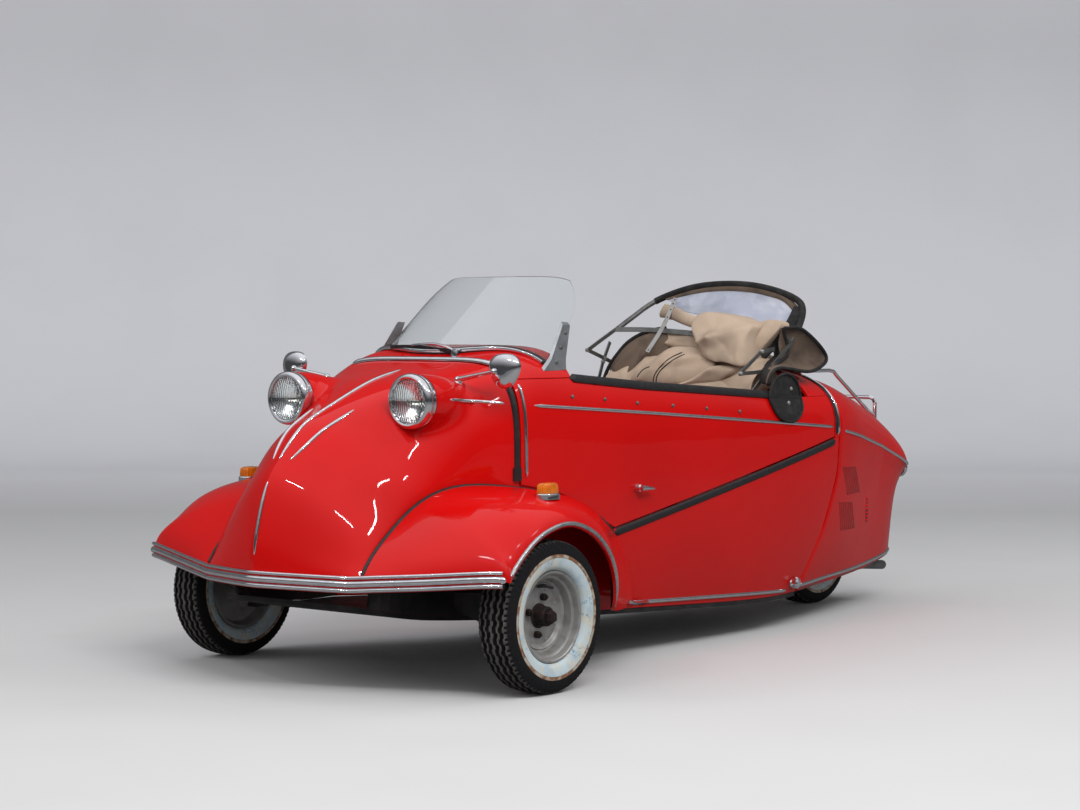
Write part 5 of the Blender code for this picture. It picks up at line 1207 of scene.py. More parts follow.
def headlamps():
    """Each lamp: a short bright bucket, a thick bright ring, a mirror bowl, a bulb and a fluted lens."""
    r = LAMP_RADIUS
    for side, tag in SIDES:
        at = (LAMP[0], side * LAMP[1], LAMP[2])
        bucket = [(-LAMP_BACK, 0.004), (-LAMP_BACK, r - 0.0015), (-0.0285, r), (-0.0215, r + 0.0004),
                  (-0.0205, r - 0.002), (-0.0190, r - 0.002), (-0.0180, r), (-0.012, r),
                  (-0.008, r - 0.004), (-0.018, r - 0.007), (-0.026, 0.058), (-0.0275, 0.004)]
        piece("lamp_bucket_" + tag, turned(bucket, at, (1, 0, 0), 96), chrome(), "body",
              replaces=["headlamp_" + tag])
        ring = [(-0.017, r + 0.0005), (-0.013, r + 0.0028), (-0.005, r + 0.0034), (0.002, r + 0.0020),
                (0.0065, r - 0.002), (0.0075, r - 0.006), (0.0055, r - 0.010), (0.001, r - 0.0115),
                (-0.006, r - 0.009), (-0.014, r - 0.003)]
        piece("lamp_ring_" + tag, turned(ring, at, (1, 0, 0), 96, closed=True), chrome(), "body")
        t = np.linspace(0.02, 1, 18)
        bowl = np.concatenate([np.stack([-0.024 + 0.020 * t**2, 0.056 * t], -1),
                               np.stack([-0.026 + 0.020 * t[::-1] ** 2, 0.057 * t[::-1]], -1)])
        piece("lamp_bowl_" + tag, turned(bowl, at, (1, 0, 0), 64),
              finish("lamp_mirror", (0.86, 0.87, 0.88), (0.7, 0.71, 0.72), scale=60.0, rough=(0.04, 0.1),
                     metal=1.0), "body")
        dome = np.stack([0.002 + 0.014 * (1 - t[::-1] ** 2), 0.0575 * t[::-1]], -1)
        inner = np.stack([-0.001 + 0.014 * (1 - t**2), 0.0560 * t], -1)
        piece("lamp_lens_" + tag, turned(np.concatenate([inner, dome]), at, (1, 0, 0), 72), fluted_glass(),
              "body")
        bulb = [(-0.024, 0.004), (-0.020, 0.008), (-0.012, 0.010), (-0.006, 0.008), (-0.001, 0.003)]
        piece("lamp_bulb_" + tag, turned(bulb, at, (1, 0, 0), 24),
              glass("bulb_glass", (0.95, 0.93, 0.85), 0.1), "body")


def shield_wave(t):
    """Reach of the mirror's outline: 1 + 0.07 cos 3(t - 30 degrees), narrow at its foot."""
    return 1 + 0.07 * np.cos(3 * (t - math.pi / 6))


def mirrors():
    """Each mirror: a rounded shield on a straight arm with a joint at both ends, and its glass behind."""
    tree = search_tree("nose_panel")
    for side, tag in SIDES:
        head = np.array((0.886, side * 0.372, 0.791))
        aim = (1.0, side * 0.12, 0.06)
        t = np.linspace(0, math.pi / 2, 14)
        dome = np.stack([-0.006 + 0.020 * np.sin(t[::-1]), 0.0445 * np.cos(t[::-1]) ** 0.7 + 0.0005], -1)
        rim = [(-0.010, 0.0450), (-0.012, 0.0430), (-0.010, 0.041), (-0.009, 0.0005)]
        shield = np.concatenate([dome, rim])
        piece("mirror_head_" + tag, turned(shield, head, aim, 72, shield_wave), chrome(), "body",
              replaces=["mirror_" + tag])
        silver = finish("mirror_silver", (0.8, 0.82, 0.84), (0.7, 0.72, 0.74), scale=20.0,
                        rough=(0.02, 0.05), metal=1.0)
        back = [(-0.0105, 0.0005), (-0.0115, 0.0405), (-0.0095, 0.0405)]
        piece("mirror_glass_" + tag, turned(back, head, aim, 72, shield_wave), silver, "body")
        seat, _ = dropped(tree, [(0.900, side * 0.232, 2.0)], (0, 0, -1))
        foot = seat[0] + [0, 0, 0.006]
        joint = head + [0.017, -side * 0.018, -0.004]
        route = foot + (joint - foot) * np.linspace(0, 1, 14)[:, None]
        arm = tube(route, np.linspace(0.0075, 0.0042, 14), 16)
        parts = [arm, ball(foot, 0.0090), ball(joint, 0.0082),
                 turned([(-0.006, 0.0135), (0.001, 0.0130), (0.004, 0.009), (0.005, 0.001)], seat[0],
                        (0.2, side * 0.2, 1.0), 32)]
        piece("mirror_arm_" + tag, together(*parts), chrome(), "body")


def indicators():
    """Each indicator: a bright base with end caps and an amber lens with upright ribs."""
    amber = tuple(colours().amber)
    lens = finish("amber_plastic", amber, [c * 0.6 for c in amber], scale=60.0, rough=(0.10, 0.20),
                  coat=0.6, bump=0.05, bump_scale=160.0, extra=glow)
    for _, tag in SIDES:
        low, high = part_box("indicator_" + tag)
        x, y = (low.x + high.x) / 2, (low.y + high.y) / 2
        t = np.arange(72) * 2 * math.pi / 72
        square = (np.abs(np.cos(t)) ** 3 + np.abs(np.sin(t)) ** 3) ** (-1 / 3)
        rings = []
        base = []
        for level, grow in ((-0.040, 1.10), (-0.028, 1.10), (-0.026, 1.04)):
            base.append(np.stack([x + 0.030 * grow * square * np.cos(t),
                                  y + 0.0205 * grow * square * np.sin(t), np.full(72, high.z + level)], -1))
        flute = 1 + 0.03 * np.sin(t * 18)
        for level, grow in ((-0.0255, 0.96), (-0.022, 1.0), (-0.008, 0.97), (-0.003, 0.90), (0.0, 0.70),
                            (0.001, 0.3)):
            rings.append(np.stack([x + 0.029 * grow * square * flute * np.cos(t),
                                   y + 0.0195 * grow * square * flute * np.sin(t),
                                   np.full(72, high.z + level)], -1))
        piece("indicator_lens_" + tag, loft(rings), lens, "body", replaces=["indicator_" + tag])
        piece("indicator_base_" + tag, loft(base), chrome(), "body")


def screen_grid(columns=81, levels=41):
    """The screen: from an arc on the cowl to a shorter arc above, with round top corners."""
    tree = search_tree("cowl_panel")
    v = np.linspace(-1, 1, columns)
    x0 = 0.735 - 0.100 * v * v
    feet, _ = dropped(tree, np.column_stack([x0, 0.30 * v, np.full(columns, 2.0)]), (0, 0, -1))
    s = np.linspace(0, 1, levels)[:, None]
    x1 = 0.475 - 0.050 * v * v
    top_z = 1.036 - 0.012 * np.abs(v) ** 8
    wide = 0.300 - 0.020 * s - 0.062 * s**4
    x = x0 + (x1 - x0) * s - 0.02 * v * v * np.sin(math.pi * s)
    foot = feet[:, 2] - 0.004
    return np.stack(np.broadcast_arrays(x, wide * v, foot + (top_z - foot) * s), -1)


def windscreen():
    """The clear wrapped screen with its rubber foot, brackets, screws and wiper."""
    grid = screen_grid()
    away = grid_normals(grid, 20, 40, 0)
    piece("screen_glass", shell(grid, away, 0.004), glass("screen_clear"), "lid", bevel=0.0008,
          replaces=["windscreen"])
    foot = grid[0] + [0.0, 0.0, 0.006]
    up = np.repeat([[0.30, 0.0, 0.95]], len(foot), 0)
    piece("screen_foot", swept(foot + [0.001, 0, 0], up, half_round(0.020, 0.011, 0.006)), rubber(), "lid")
    piece("screen_foot_bead", swept(foot + [0.012, 0, 0.003], up, half_round(0.006, 0.005, 0.004)),
          chrome(), "lid")
    tree = search_tree("cowl_panel")
    pivot = dropped(tree, [(0.750, 0.090, 2.0)], (0, 0, -1))[0][0]
    boss = turned([(-0.004, 0.011), (0.008, 0.010), (0.016, 0.007), (0.018, 0.001)], pivot, (0.2, 0, 1), 24)
    arm = tube(smooth_path([pivot + [0, 0, 0.012], pivot + [0.004, -0.05, 0.028],
                            pivot + [-0.004, -0.11, 0.030], pivot + [-0.014, -0.165, 0.026]], 20), 0.0035,
               8)
    piece("wiper_arm", together(boss, arm), chrome(), "lid")
    blade = swept(smooth_path([pivot + [-0.006, -0.235, 0.020], pivot + [-0.016, -0.165, 0.022],
                               pivot + [-0.006, -0.07, 0.016], pivot + [0.004, -0.01, 0.012]], 24),
                  np.repeat([[0.3, 0, 1.0]], 24, 0), [(-0.003, -0.004), (0.003, -0.004), (0.002, 0.005),
                                                      (-0.002, 0.005)])
    piece("wiper_blade", blade, rubber(), "lid")
    screws = []
    for side in (1, -1):
        for x, rise in ((0.549, 0.098), (0.575, 0.060), (0.601, 0.022)):
            seat, _ = dropped(tree, [(max(x, COCKPIT_FRONT_X + 0.002), side * 0.3165, 2.0)], (0, 0, -1))
            at = (x, side * (0.3165 - 0.15 * rise), seat[0][2] + rise)
            screws.append(turned([(-0.001, 0.0055), (0.0015, 0.0054), (0.0032, 0.0040), (0.0038, 0.0010)],
                                 at, (0, side, 0.15), 16))
    piece("bracket_screws", together(*screws), dull_steel(), "lid")


def tyre_profile(half, count):
    """Points (y, r) of the tyre's section from bead to bead over the tread, and its closing line inside."""
    knots = np.array([(-0.62, RIM_SEAT), (-0.86, RIM_SEAT + 0.006), (-0.97, RIM_SEAT + 0.020),
                      (-1.0, 0.152), (-0.975, 0.168), (-0.90, 0.180), (-0.74, 0.1866), (-0.38, 0.1893),
                      (0.0, TYRE_RADIUS)])
    knots = np.concatenate([knots, knots[-2::-1] * [-1, 1]])
    line = spline_through(knots, np.linspace(0, len(knots) - 1, count))
    return np.column_stack([line[:, 0] * half, line[:, 1]])


def tyre(tag, body, sides=280, count=72):
    """A tyre: its radius lowered in zigzag grooves y = y_k + a tri(40 t) and by notches in the
    shoulders."""
    low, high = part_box("tyre_" + tag)
    centre = (low + high) / 2
    half = (high.y - low.y) / 2
    profile = tyre_profile(half, count)
    t = np.arange(sides) * 2 * math.pi / sides
    y = np.repeat(profile[:, 0][:, None], sides, 1)
    r = np.repeat(profile[:, 1][:, None], sides, 1)
    zigzag = np.abs((t * 40 / math.pi) % 2 - 1) * 2 - 1
    depth = np.zeros_like(r)
    for line in GROOVES:
        gap = np.abs(y - line * half - 0.0028 * zigzag[None, :])
        depth = np.maximum(depth, np.clip((0.0042 - gap) / 0.0014, 0, 1))
    depth *= r > 0.1858
    notch = (np.abs((t * 80 / (2 * math.pi)) % 1 - 0.5) < 0.17)[None, :] & (r > 0.168) & (r <= 0.1868)
    sunk = depth * sizes().tread_depth + notch * 0.0024
    rise = 1 / (1 + np.exp(-(profile[:, 1] - 0.1462) / 0.0003))
    fall = 1 / (1 + np.exp(-(profile[:, 1] - 0.1542) / 0.0004))
    ridge = 0.0016 * (rise - fall)
    ridge = np.where(r < 0.165, ridge[:, None] * np.sign(y), 0.0)
    r_worn = r - sunk
    rings = np.stack([centre.x + r_worn * np.cos(t), centre.y + np.clip(y + ridge, -half, half),
                      centre.z + r_worn * np.sin(t)], -1)
    obj = piece("tyre_tread_" + tag, loft(rings, closed=True), tyre_finish(), body, angle=50,
                replaces=["tyre_" + tag], weld=1e-7)
    for key, values in (("radius", r), ("depth", sunk)):
        attribute = obj.data.attributes.new(key, "FLOAT", "POINT")
        attribute.data.foreach_set("value", values.ravel().astype(np.float32))


def hexagon(t):
    """Reach of a hexagon's side at the angle t: 1 / cos of the angle from the middle of that side."""
    return 1 / np.cos((t + math.pi / 6) % (math.pi / 3) - math.pi / 6)


def wheel(tag, body):
    """A deep stepped disc with a rolled lip, its hub, nuts on studs, rivets and valve."""
    low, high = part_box("tyre_" + tag)
    c = np.array((low + high) / 2)
    out = 1.0 if c[1] >= -0.001 else -1.0
    disc = [(-0.038, 0.1130), (-0.0385, 0.107), (-0.030, 0.101), (-0.012, 0.096), (-0.010, 0.083),
            (-0.014, 0.070), (-0.013, 0.045), (-0.014, 0.0150), (-0.007, 0.0150), (-0.006, 0.045),
            (-0.0065, 0.0725), (-0.003, 0.0765), (0.001, 0.0785), (0.003, 0.0815), (0.000, 0.0845),
            (0.002, 0.089), (0.014, 0.0925), (0.020, 0.0945), (0.0215, 0.0985), (0.0235, 0.1010),
            (0.031, 0.1035), (0.0365, 0.1055), (0.0390, 0.1085), (0.0385, 0.1125), (0.034, 0.1145),
            (0.028, 0.1138), (0.0, 0.1135)]
    disc = [(out * a, r) for a, r in disc]
    piece("disc_" + tag, turned(disc, c, (0, 1, 0), 96, closed=True), rim_silver(), body, angle=30,
          replaces=["rim_" + tag])
    hub = [(-0.010, 0.0160), (-0.010, 0.031), (-0.005, 0.031), (-0.002, 0.0265), (0.022, 0.0245),
           (0.026, 0.0215), (0.026, 0.0160)]
    parts = [turned([(out * a, r) for a, r in hub], c, (0, 1, 0), 40, closed=True)]
    for k in range(4):
        a = math.radians(15 + 90 * k)
        at = c + [0.047 * math.cos(a), 0, 0.047 * math.sin(a)]
        nut = [(-0.006, 0.0078), (0.006, 0.0078), (0.0075, 0.006), (0.0075, 0.0045), (0.012, 0.0040),
               (0.013, 0.001)]
        parts.append(turned([(out * x, r) for x, r in nut], at, (0, 1, 0), 24, hexagon))
    castle = [(0.026, 0.0155), (0.036, 0.0155), (0.037, 0.0135), (0.041, 0.0125), (0.041, 0.0090)]
    castle = [(out * a, r) for a, r in castle + [(0.026, 0.0090)]]
    parts.append(turned(castle, c, (0, 1, 0), 36, hexagon, closed=True))
    piece("hub_" + tag, together(*parts), rusty(), body, angle=30)
    rivets = []
    for k in range(8):
        a = math.radians(22.5 + 45 * k)
        at = c + [0.066 * math.cos(a), out * -0.0065, 0.066 * math.sin(a)]
        rivets.append(turned([(out * x, r) for x, r in ((-0.001, 0.0038), (0.001, 0.0036), (0.0022, 0.0022),
                                                        (0.0026, 0.0005))], at, (0, 1, 0), 12))
    piece("rivets_" + tag, together(*rivets), rim_silver(), body)
    valve = tube(smooth_path([c + [0.006, out * -0.004, 0.074], c + [-0.008, out * 0.008, 0.0735],
                              c + [-0.024, out * 0.020, 0.0685]], 16), np.linspace(0.0052, 0.0036, 16), 14)
    piece("valve_" + tag, valve, rubber(), body)


def wheels():
    """All three wheels."""
    for tag, body in (("front_left", "wheel_front_left"), ("front_right", "wheel_front_right"),
                      ("rear", "wheel_rear")):
        tyre(tag, body)
        wheel(tag, body)


def tail_details():
    """Vent slits and louvres in the tail's flanks, each slit a flush black strip of painted shade, a bright
    ring round each tail lamp, and the catches' knobs."""
    slits = []
    lips = []
    hoods = []
    for side in (1, -1):
        for corners in (((-0.738, 0.470), (-0.842, 0.466), (-0.916, 0.384), (-0.800, 0.382)),
                        ((-0.738, 0.362), (-0.846, 0.356), (-0.912, 0.270), (-0.790, 0.272))):
            a, b, c, d = np.array(corners)
            for k in np.linspace(0, 1, 8):
                top = a + (b - a) * k
                low = d + (c - d) * k
                path, normal = on_flank([top, low], side, 14)
                # painted shade: each slit is a flush black strip that stands for the dark opening
                slits.append(swept(path, normal, [(-0.0019, -0.0005), (0.0019, -0.0005), (0.0019, 0.0007),
                                                  (-0.0019, 0.0007)]))
                shift = np.array([0.0036, 0, 0])
                lips.append(swept(path + shift, normal, half_round(0.0042, 0.0016, 0.0005, 6), 0.01))
        for k in range(7):
            z = 0.357 - 0.0118 * k
            half = 0.017 - 0.0022 * abs(k - 3)
            x = -1.012 - 0.0035 * k
            path, normal = on_flank([(x + half, z), (x - half, z)], side, 16)
            hoods.append(swept(path, normal, half_round(0.0082, 0.0052, 0.0005, 7), 0.014))
            path, normal = on_flank([(x + half - 0.002, z - 0.0056), (x - half + 0.002, z - 0.0056)], side,
                                    8)
            # painted shade: a black strip below each louvre's hood, where the gap lies in shade
            slits.append(swept(path, normal, [(-0.0016, -0.0005), (0.0016, -0.0005), (0.0016, 0.0008),
                                              (-0.0016, 0.0008)]))
    piece("vent_slits_painted_shade", together(*slits), black_paint_and_shade(), "tail")
    piece("vent_lips", together(*lips), red_paint(), "tail")
    piece("louvres", together(*hoods), red_paint(), "tail")
    rings = []
    for side, tag in SIDES:
        low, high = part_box("tail_lamp_" + tag)
        at = np.array([high.x - 0.012, (low.y + high.y) / 2, (low.z + high.z) / 2])
        r = (high.z - low.z) / 2
        rings.append(turned([(0.0, r + 0.001), (-0.004, r + 0.0045), (-0.010, r + 0.0050),
                             (-0.014, r + 0.0025), (-0.014, r + 0.0006), (-0.004, r + 0.0004)], at,
                            (1, 0, 0), 48, closed=True))
    piece("tail_lamp_rings", together(*rings), chrome(), "tail")
    cap = [(0.004, 0.004), (0.004, 0.019), (0.000, 0.0205), (-0.006, 0.0165), (-0.010, 0.006),
           (-0.011, 0.001)]
    catches = []
    for side, tag in SIDES:
        low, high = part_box("cover_catch_" + tag)
        at = np.array((low + high) / 2)
        catches.append(turned([(x * 0.8, r * 0.85) for x, r in cap], at + [-0.020, -side * 0.004, 0.0],
                              (0, -side, 0), 32))
    piece("catch_knobs", together(*catches), chrome(), "body")


def folds(u, v, seed):
    """Height of soft folds: a sum of |sin| ridges with wandering crests, smoothed at their feet."""
    total = np.zeros_like(u)
    for k in range(4):
        turn = seed + 1.7 * k
        phase = 3.1 * u * math.cos(turn) + 2.3 * v * math.sin(turn)
        phase = phase + 0.9 * np.sin(2.1 * v + turn) * np.sin(1.3 * u)
        ridge = 1 - np.abs(np.sin(phase * (1 + 0.45 * k)))
        total += ridge**1.6 / (1 + 0.8 * k)
    return total / 2.2


def lobe_grid(outline, depth, bulge, creases, out=0, steps=47):
    """A lobe of folded cloth: a disc blown out by b (1 - s^3) plus its creases, whose rim turns back by
    the depth."""
    line = closed_line(outline, 240)
    centre = line.mean(axis=0)
    u, v = np.meshgrid(np.linspace(-1, 1, steps), np.linspace(-1, 1, steps), indexing="ij")
    a = u * np.sqrt(1 - v * v / 2)
    b = v * np.sqrt(1 - u * u / 2)
    s = np.hypot(a, b) * 1.4
    turn = (np.arctan2(b, a) / (2 * math.pi)) % 1 * 240
    low = turn.astype(int) % 240
    mix = (turn - np.floor(turn))[..., None]
    reach = line[low] * (1 - mix) + line[(low + 1) % 240] * mix - centre
    inside = np.clip(s, 0, 1)
    past = np.clip((s - 1) / 0.4, 0, 1)
    grid = centre + reach * (inside * (1 - 0.10 * past * past))[..., None]
    push = bulge * (1 - inside**3) - depth * past**1.3
    plane = [k for k in range(3) if k != out]
    for y0, z0, y1, z1, height, width in creases:
        start = np.array([y0, z0])
        step = np.array([y1 - y0, z1 - z0])
        offset = grid[..., plane] - start
        share = np.clip((offset @ step) / (step @ step), 0, 1)
        gap = np.linalg.norm(offset - share[..., None] * step, axis=-1)
        push = push + height * np.clip(1 - gap / width, 0, 1) ** 1.4 * np.clip((1 - inside) * 5, 0, 1)
    push = push + 0.0035 * (folds(grid[..., plane[0]] * 9, grid[..., plane[1]] * 9, 0.8) - 0.4) * (past < 1)
    grid[..., out] += push
    return grid, grid_normals(grid, steps // 2, steps // 2, out)


def cloth(name, grid, away, material, replaces=()):
    """A thin cloth piece."""
    obj = piece(name, shell(grid, away, 0.0015), material, "lid", angle=70, replaces=replaces)
    return obj


def hood_window():
    """The rear window's silvery sheet below the bow, its brown band, and the bow's black edging."""
    top = np.array([(-0.645, -0.253, 0.997), (-0.648, -0.207, 1.008), (-0.652, -0.127, 1.022),
                    (-0.655, -0.047, 1.031), (-0.655, 0.022, 1.032), (-0.652, 0.092, 1.025),
                    (-0.650, 0.156, 1.013), (-0.648, 0.207, 0.993), (-0.645, 0.254, 0.958)])
    middle = np.array([(-0.630, -0.230, 0.982), (-0.640, -0.189, 0.991), (-0.645, -0.122, 1.003),
                       (-0.650, -0.044, 1.009), (-0.650, 0.025, 1.008), (-0.648, 0.095, 1.001),
                       (-0.645, 0.154, 0.989), (-0.640, 0.204, 0.973), (-0.635, 0.246, 0.938)])
    foot = np.array([(-0.580, -0.158, 0.957), (-0.580, -0.122, 0.945), (-0.570, -0.063, 0.936),
                     (-0.560, 0.008, 0.931), (-0.560, 0.065, 0.926), (-0.560, 0.121, 0.905),
                     (-0.560, 0.177, 0.895), (-0.570, 0.224, 0.890), (-0.580, 0.256, 0.893)])
    lines = [smooth_path(points, 90) for points in (top, middle, foot)]
    share = np.linspace(-0.08, 1, 26)[:, None, None]
    pane = lines[1] * (1 - share) + lines[2] * share
    crumple = folds(share[..., 0] * 1.2 + 0 * pane[..., 0], pane[..., 1] * 8, 1.9) - 0.4
    pane[..., 0] += 0.007 * crumple * np.clip(share[..., 0] * 5, 0,
                                              1) - 0.012 * np.sin(math.pi * share[..., 0])
    silver = finish("window_silver", (0.42, 0.44, 0.52), (0.58, 0.60, 0.66), scale=14.0, rough=(0.28, 0.45),
                    metal=0.35, bump=0.5, bump_scale=30.0, distance=0.003)
    share = np.linspace(0, 1, 8)[:, None, None]
    band = lines[0] * (1 - share) + lines[1] * share
    band[..., 0] += 0.004 * np.sin(math.pi * share[..., 0]) + 0.0022
    cloth("hood_band", band, grid_normals(band, 4, 45, 0), lining_and_shade_cloth())
    cloth("hood_window", pane, grid_normals(pane, 12, 45, 0), silver)
    bow = spline_through(HOOD_BOW, np.linspace(0.9, 7.75, 120))
    piece("bow_edging", tube(bow, 0.0105, 14), black_cloth(), "lid")
    fall = smooth_path([(-0.630, 0.262, 0.955), (-0.600, 0.262, 0.919), (-0.550, 0.262, 0.877),
                        (-0.500, 0.252, 0.841), (-0.470, 0.236, 0.813)], 40)
    normal = np.repeat([[0.75, 0.45, 0.2]], 40, 0)
    piece("bow_fall", swept(fall, normal, [(-0.016, -0.002), (0.016, -0.002), (0.013, 0.004),
                                           (-0.013, 0.004)]), black_cloth(), "lid")


def hood_ironwork():
    """Strap with holes drawn as black discs of painted shade, cross bar and the rivets of the linkages."""
    steel = dull_steel()
    strap = smooth_path([(-0.500, -0.103, 0.986), (-0.440, -0.106, 0.900), (-0.375, -0.119, 0.821)], 30)
    facing = np.repeat([[0.9, 0.3, 0.25]], 30, 0)
    flat = [(-0.0065, -0.001), (0.0065, -0.001), (0.0065, 0.001), (-0.0065, 0.001)]
    piece("window_strap", swept(strap, facing, flat), rim_silver(), "lid")
    holes = []
    for k in (1, 3, 6, 10, 28):
        # painted shade: each hole is a black disc on the strap, not an opening
        holes.append(turned([(-0.001, 0.0026), (0.0004, 0.0026), (0.0005, 0.001)],
                            strap[k] + facing[k] * 0.0011, facing[k], 12))
    piece("strap_holes_painted_shade", together(*holes), black_paint_and_shade(), "lid")
    bar = smooth_path([(-0.452, -0.300, 0.889), (-0.455, -0.231, 0.889), (-0.455, -0.125, 0.886),
                       (-0.455, 0.050, 0.874)], 40)
    facing = np.repeat([[0.9, 0.1, 0.35]], 40, 0)
    piece("cross_bar", swept(bar, facing, [(-0.0075, -0.0015), (0.0075, -0.0015), (0.0075, 0.0015),
                                           (-0.0075, 0.0015)]), steel, "lid")
    rivets = []
    for x, y, z in LINK_JOINTS:
        side = 1 if y > 0 else -1
        rivets.append(turned([(-0.008, 0.0065), (0.000, 0.0062), (0.0022, 0.0042), (0.003, 0.001)],
                             (x, y, z), (0, side, 0), 20))
    piece("link_rivets", together(*rivets), rim_silver(), "lid")


def hood():
    """The folded hood's canvas: a low heap, six lobes on it, a roll, the side lobe and the end flap's
    edges."""
    u, v = np.meshgrid(np.linspace(0, 1, 56), np.linspace(-1, 1, 88), indexing="ij")
    knots = np.array([(-0.362, 0.690), (-0.357, 0.730), (-0.378, 0.775), (-0.420, 0.812), (-0.480, 0.835),
                      (-0.550, 0.840), (-0.600, 0.820), (-0.632, 0.775)])
    line = spline_through(knots, u[:, 0] * (len(knots) - 1))
    x = np.repeat(line[:, 0][:, None], v.shape[1], 1)
    z = 0.690 + (line[:, 1][:, None] - 0.690) * (1 - 0.30 * np.abs(v) ** 3)
    base = np.stack([x, 0.275 * v, z], -1)
    away = grid_normals(base, 28, 44, 2)
    fade = np.clip((1 - np.abs(v)) * 6, 0, 1) * np.clip(u * 8, 0.3, 1)
    rise = sizes().fold_height
    base = base + away * (rise * (folds(u * 1.6, v * 1.5, 0.6) - 0.35) * fade)[..., None]
    canvas = canvas_cloth()
    cloth("canvas_heap", base, away, canvas, replaces=["hood_cloth"])
    for name, depth, bulge, outline, creases in LOBES:
        grid, lean = lobe_grid(outline, depth, bulge, creases)
        # painted shade: the shadowed canvas patch canvas_end is drawn in the dark lining brown instead of
        # the beige canvas
        cloth(name, grid, lean, lining_and_shade_cloth() if name == "canvas_end" else canvas)
    roll = smooth_path([(-0.535, -0.170, 0.945), (-0.500, -0.105, 0.938), (-0.460, -0.035, 0.922),
                        (-0.430, 0.050, 0.902)], 40)
    turn = np.linspace(-0.9, 4.6, 26)
    grid = np.zeros((40, 26, 3))
    grid[..., 0] = roll[:, 0, None] + 0.024 * np.cos(turn)[None, :]
    grid[..., 1] = roll[:, 1, None] + 0.006 * np.sin(2 * turn)[None, :]
    grid[..., 2] = roll[:, 2, None] + (0.024 - 0.006 * np.linspace(0, 1, 40)[:, None]) * np.sin(turn)[None,
                                                                                                      :]
    lean = grid_normals(grid, 20, 8, 2)
    cloth("canvas_roll", grid, lean, canvas)
    grid, lean = lobe_grid(SIDE_LOBE, 0.030, -0.040, (), out=1)
    cloth("side_lining", grid, lean, lining_and_shade_cloth())
    shifted = [(x * 1.004, y - 0.012, z) for x, y, z in SIDE_LOBE]
    grid, lean = lobe_grid(shifted, 0.028, -0.052, (), out=1)
    cloth("side_outer", grid, lean, black_cloth())
    ring = closed_line(SIDE_LOBE, 160)
    pipings = [tube_ring(ring, 0.0052)]
    edge = smooth_path([(-0.400, -0.305, 0.734), (-0.410, -0.290, 0.777), (-0.420, -0.263, 0.817),
                        (-0.440, -0.231, 0.856), (-0.460, -0.175, 0.884), (-0.470, -0.118, 0.894)], 60)
    pipings.append(tube(edge, 0.0058, 12))
    tree = search_tree("canvas_left", "canvas_heap", "canvas_right", "canvas_top")
    for marks in ([(-0.300, 0.080, 0.825), (-0.300, 0.029, 0.807), (-0.300, -0.010, 0.781),
                   (-0.300, -0.036, 0.751), (-0.300, -0.039, 0.722)],
                  [(-0.300, 0.088, 0.819), (-0.300, 0.041, 0.802), (-0.300, -0.002, 0.776),
                   (-0.300, -0.026, 0.749), (-0.300, -0.028, 0.721)],
                  [(-0.300, -0.050, 0.778), (-0.300, -0.079, 0.767), (-0.300, -0.102, 0.743)]):
        path, normal = sight_on(tree, smooth_path(marks, 50))
        kernel = np.ones(7) / 7
        inner = np.stack([np.convolve(path[:, k], kernel, "valid") for k in range(3)], -1)
        pipings.append(swept(inner, normal[3:-3], half_round(0.0034, 0.0024, 0.0012, 7)))
    piece("hood_piping", together(*pipings), black_cloth(), "lid")
    t = np.linspace(0, 2 * math.pi, 120, endpoint=False)
    x = -0.400 + 0.085 * np.cos(t)
    z = 0.690 + 0.070 * np.sin(t)
    y = skin(row_at(x), girth_at(x, np.minimum(z, 0.690)))[..., 1] + 0.0062
    piece("flap_piping", tube_ring(np.stack([x, y, z], -1), 0.0042), black_cloth(), "lid")
    studs = []
    for x, z in ((-0.432, 0.716), (-0.408, 0.675)):
        y = float(skin(row_at(x), girth_at(x, min(z, 0.690)))[1])
        studs.append(turned([(-0.001, 0.0062), (0.002, 0.006), (0.0042, 0.0042), (0.005, 0.001)],
                            (x, y + 0.0060, z), (0, 1, 0), 20))
    piece("flap_studs", together(*studs), rim_silver(), "lid")
    hood_window()
    hood_ironwork()


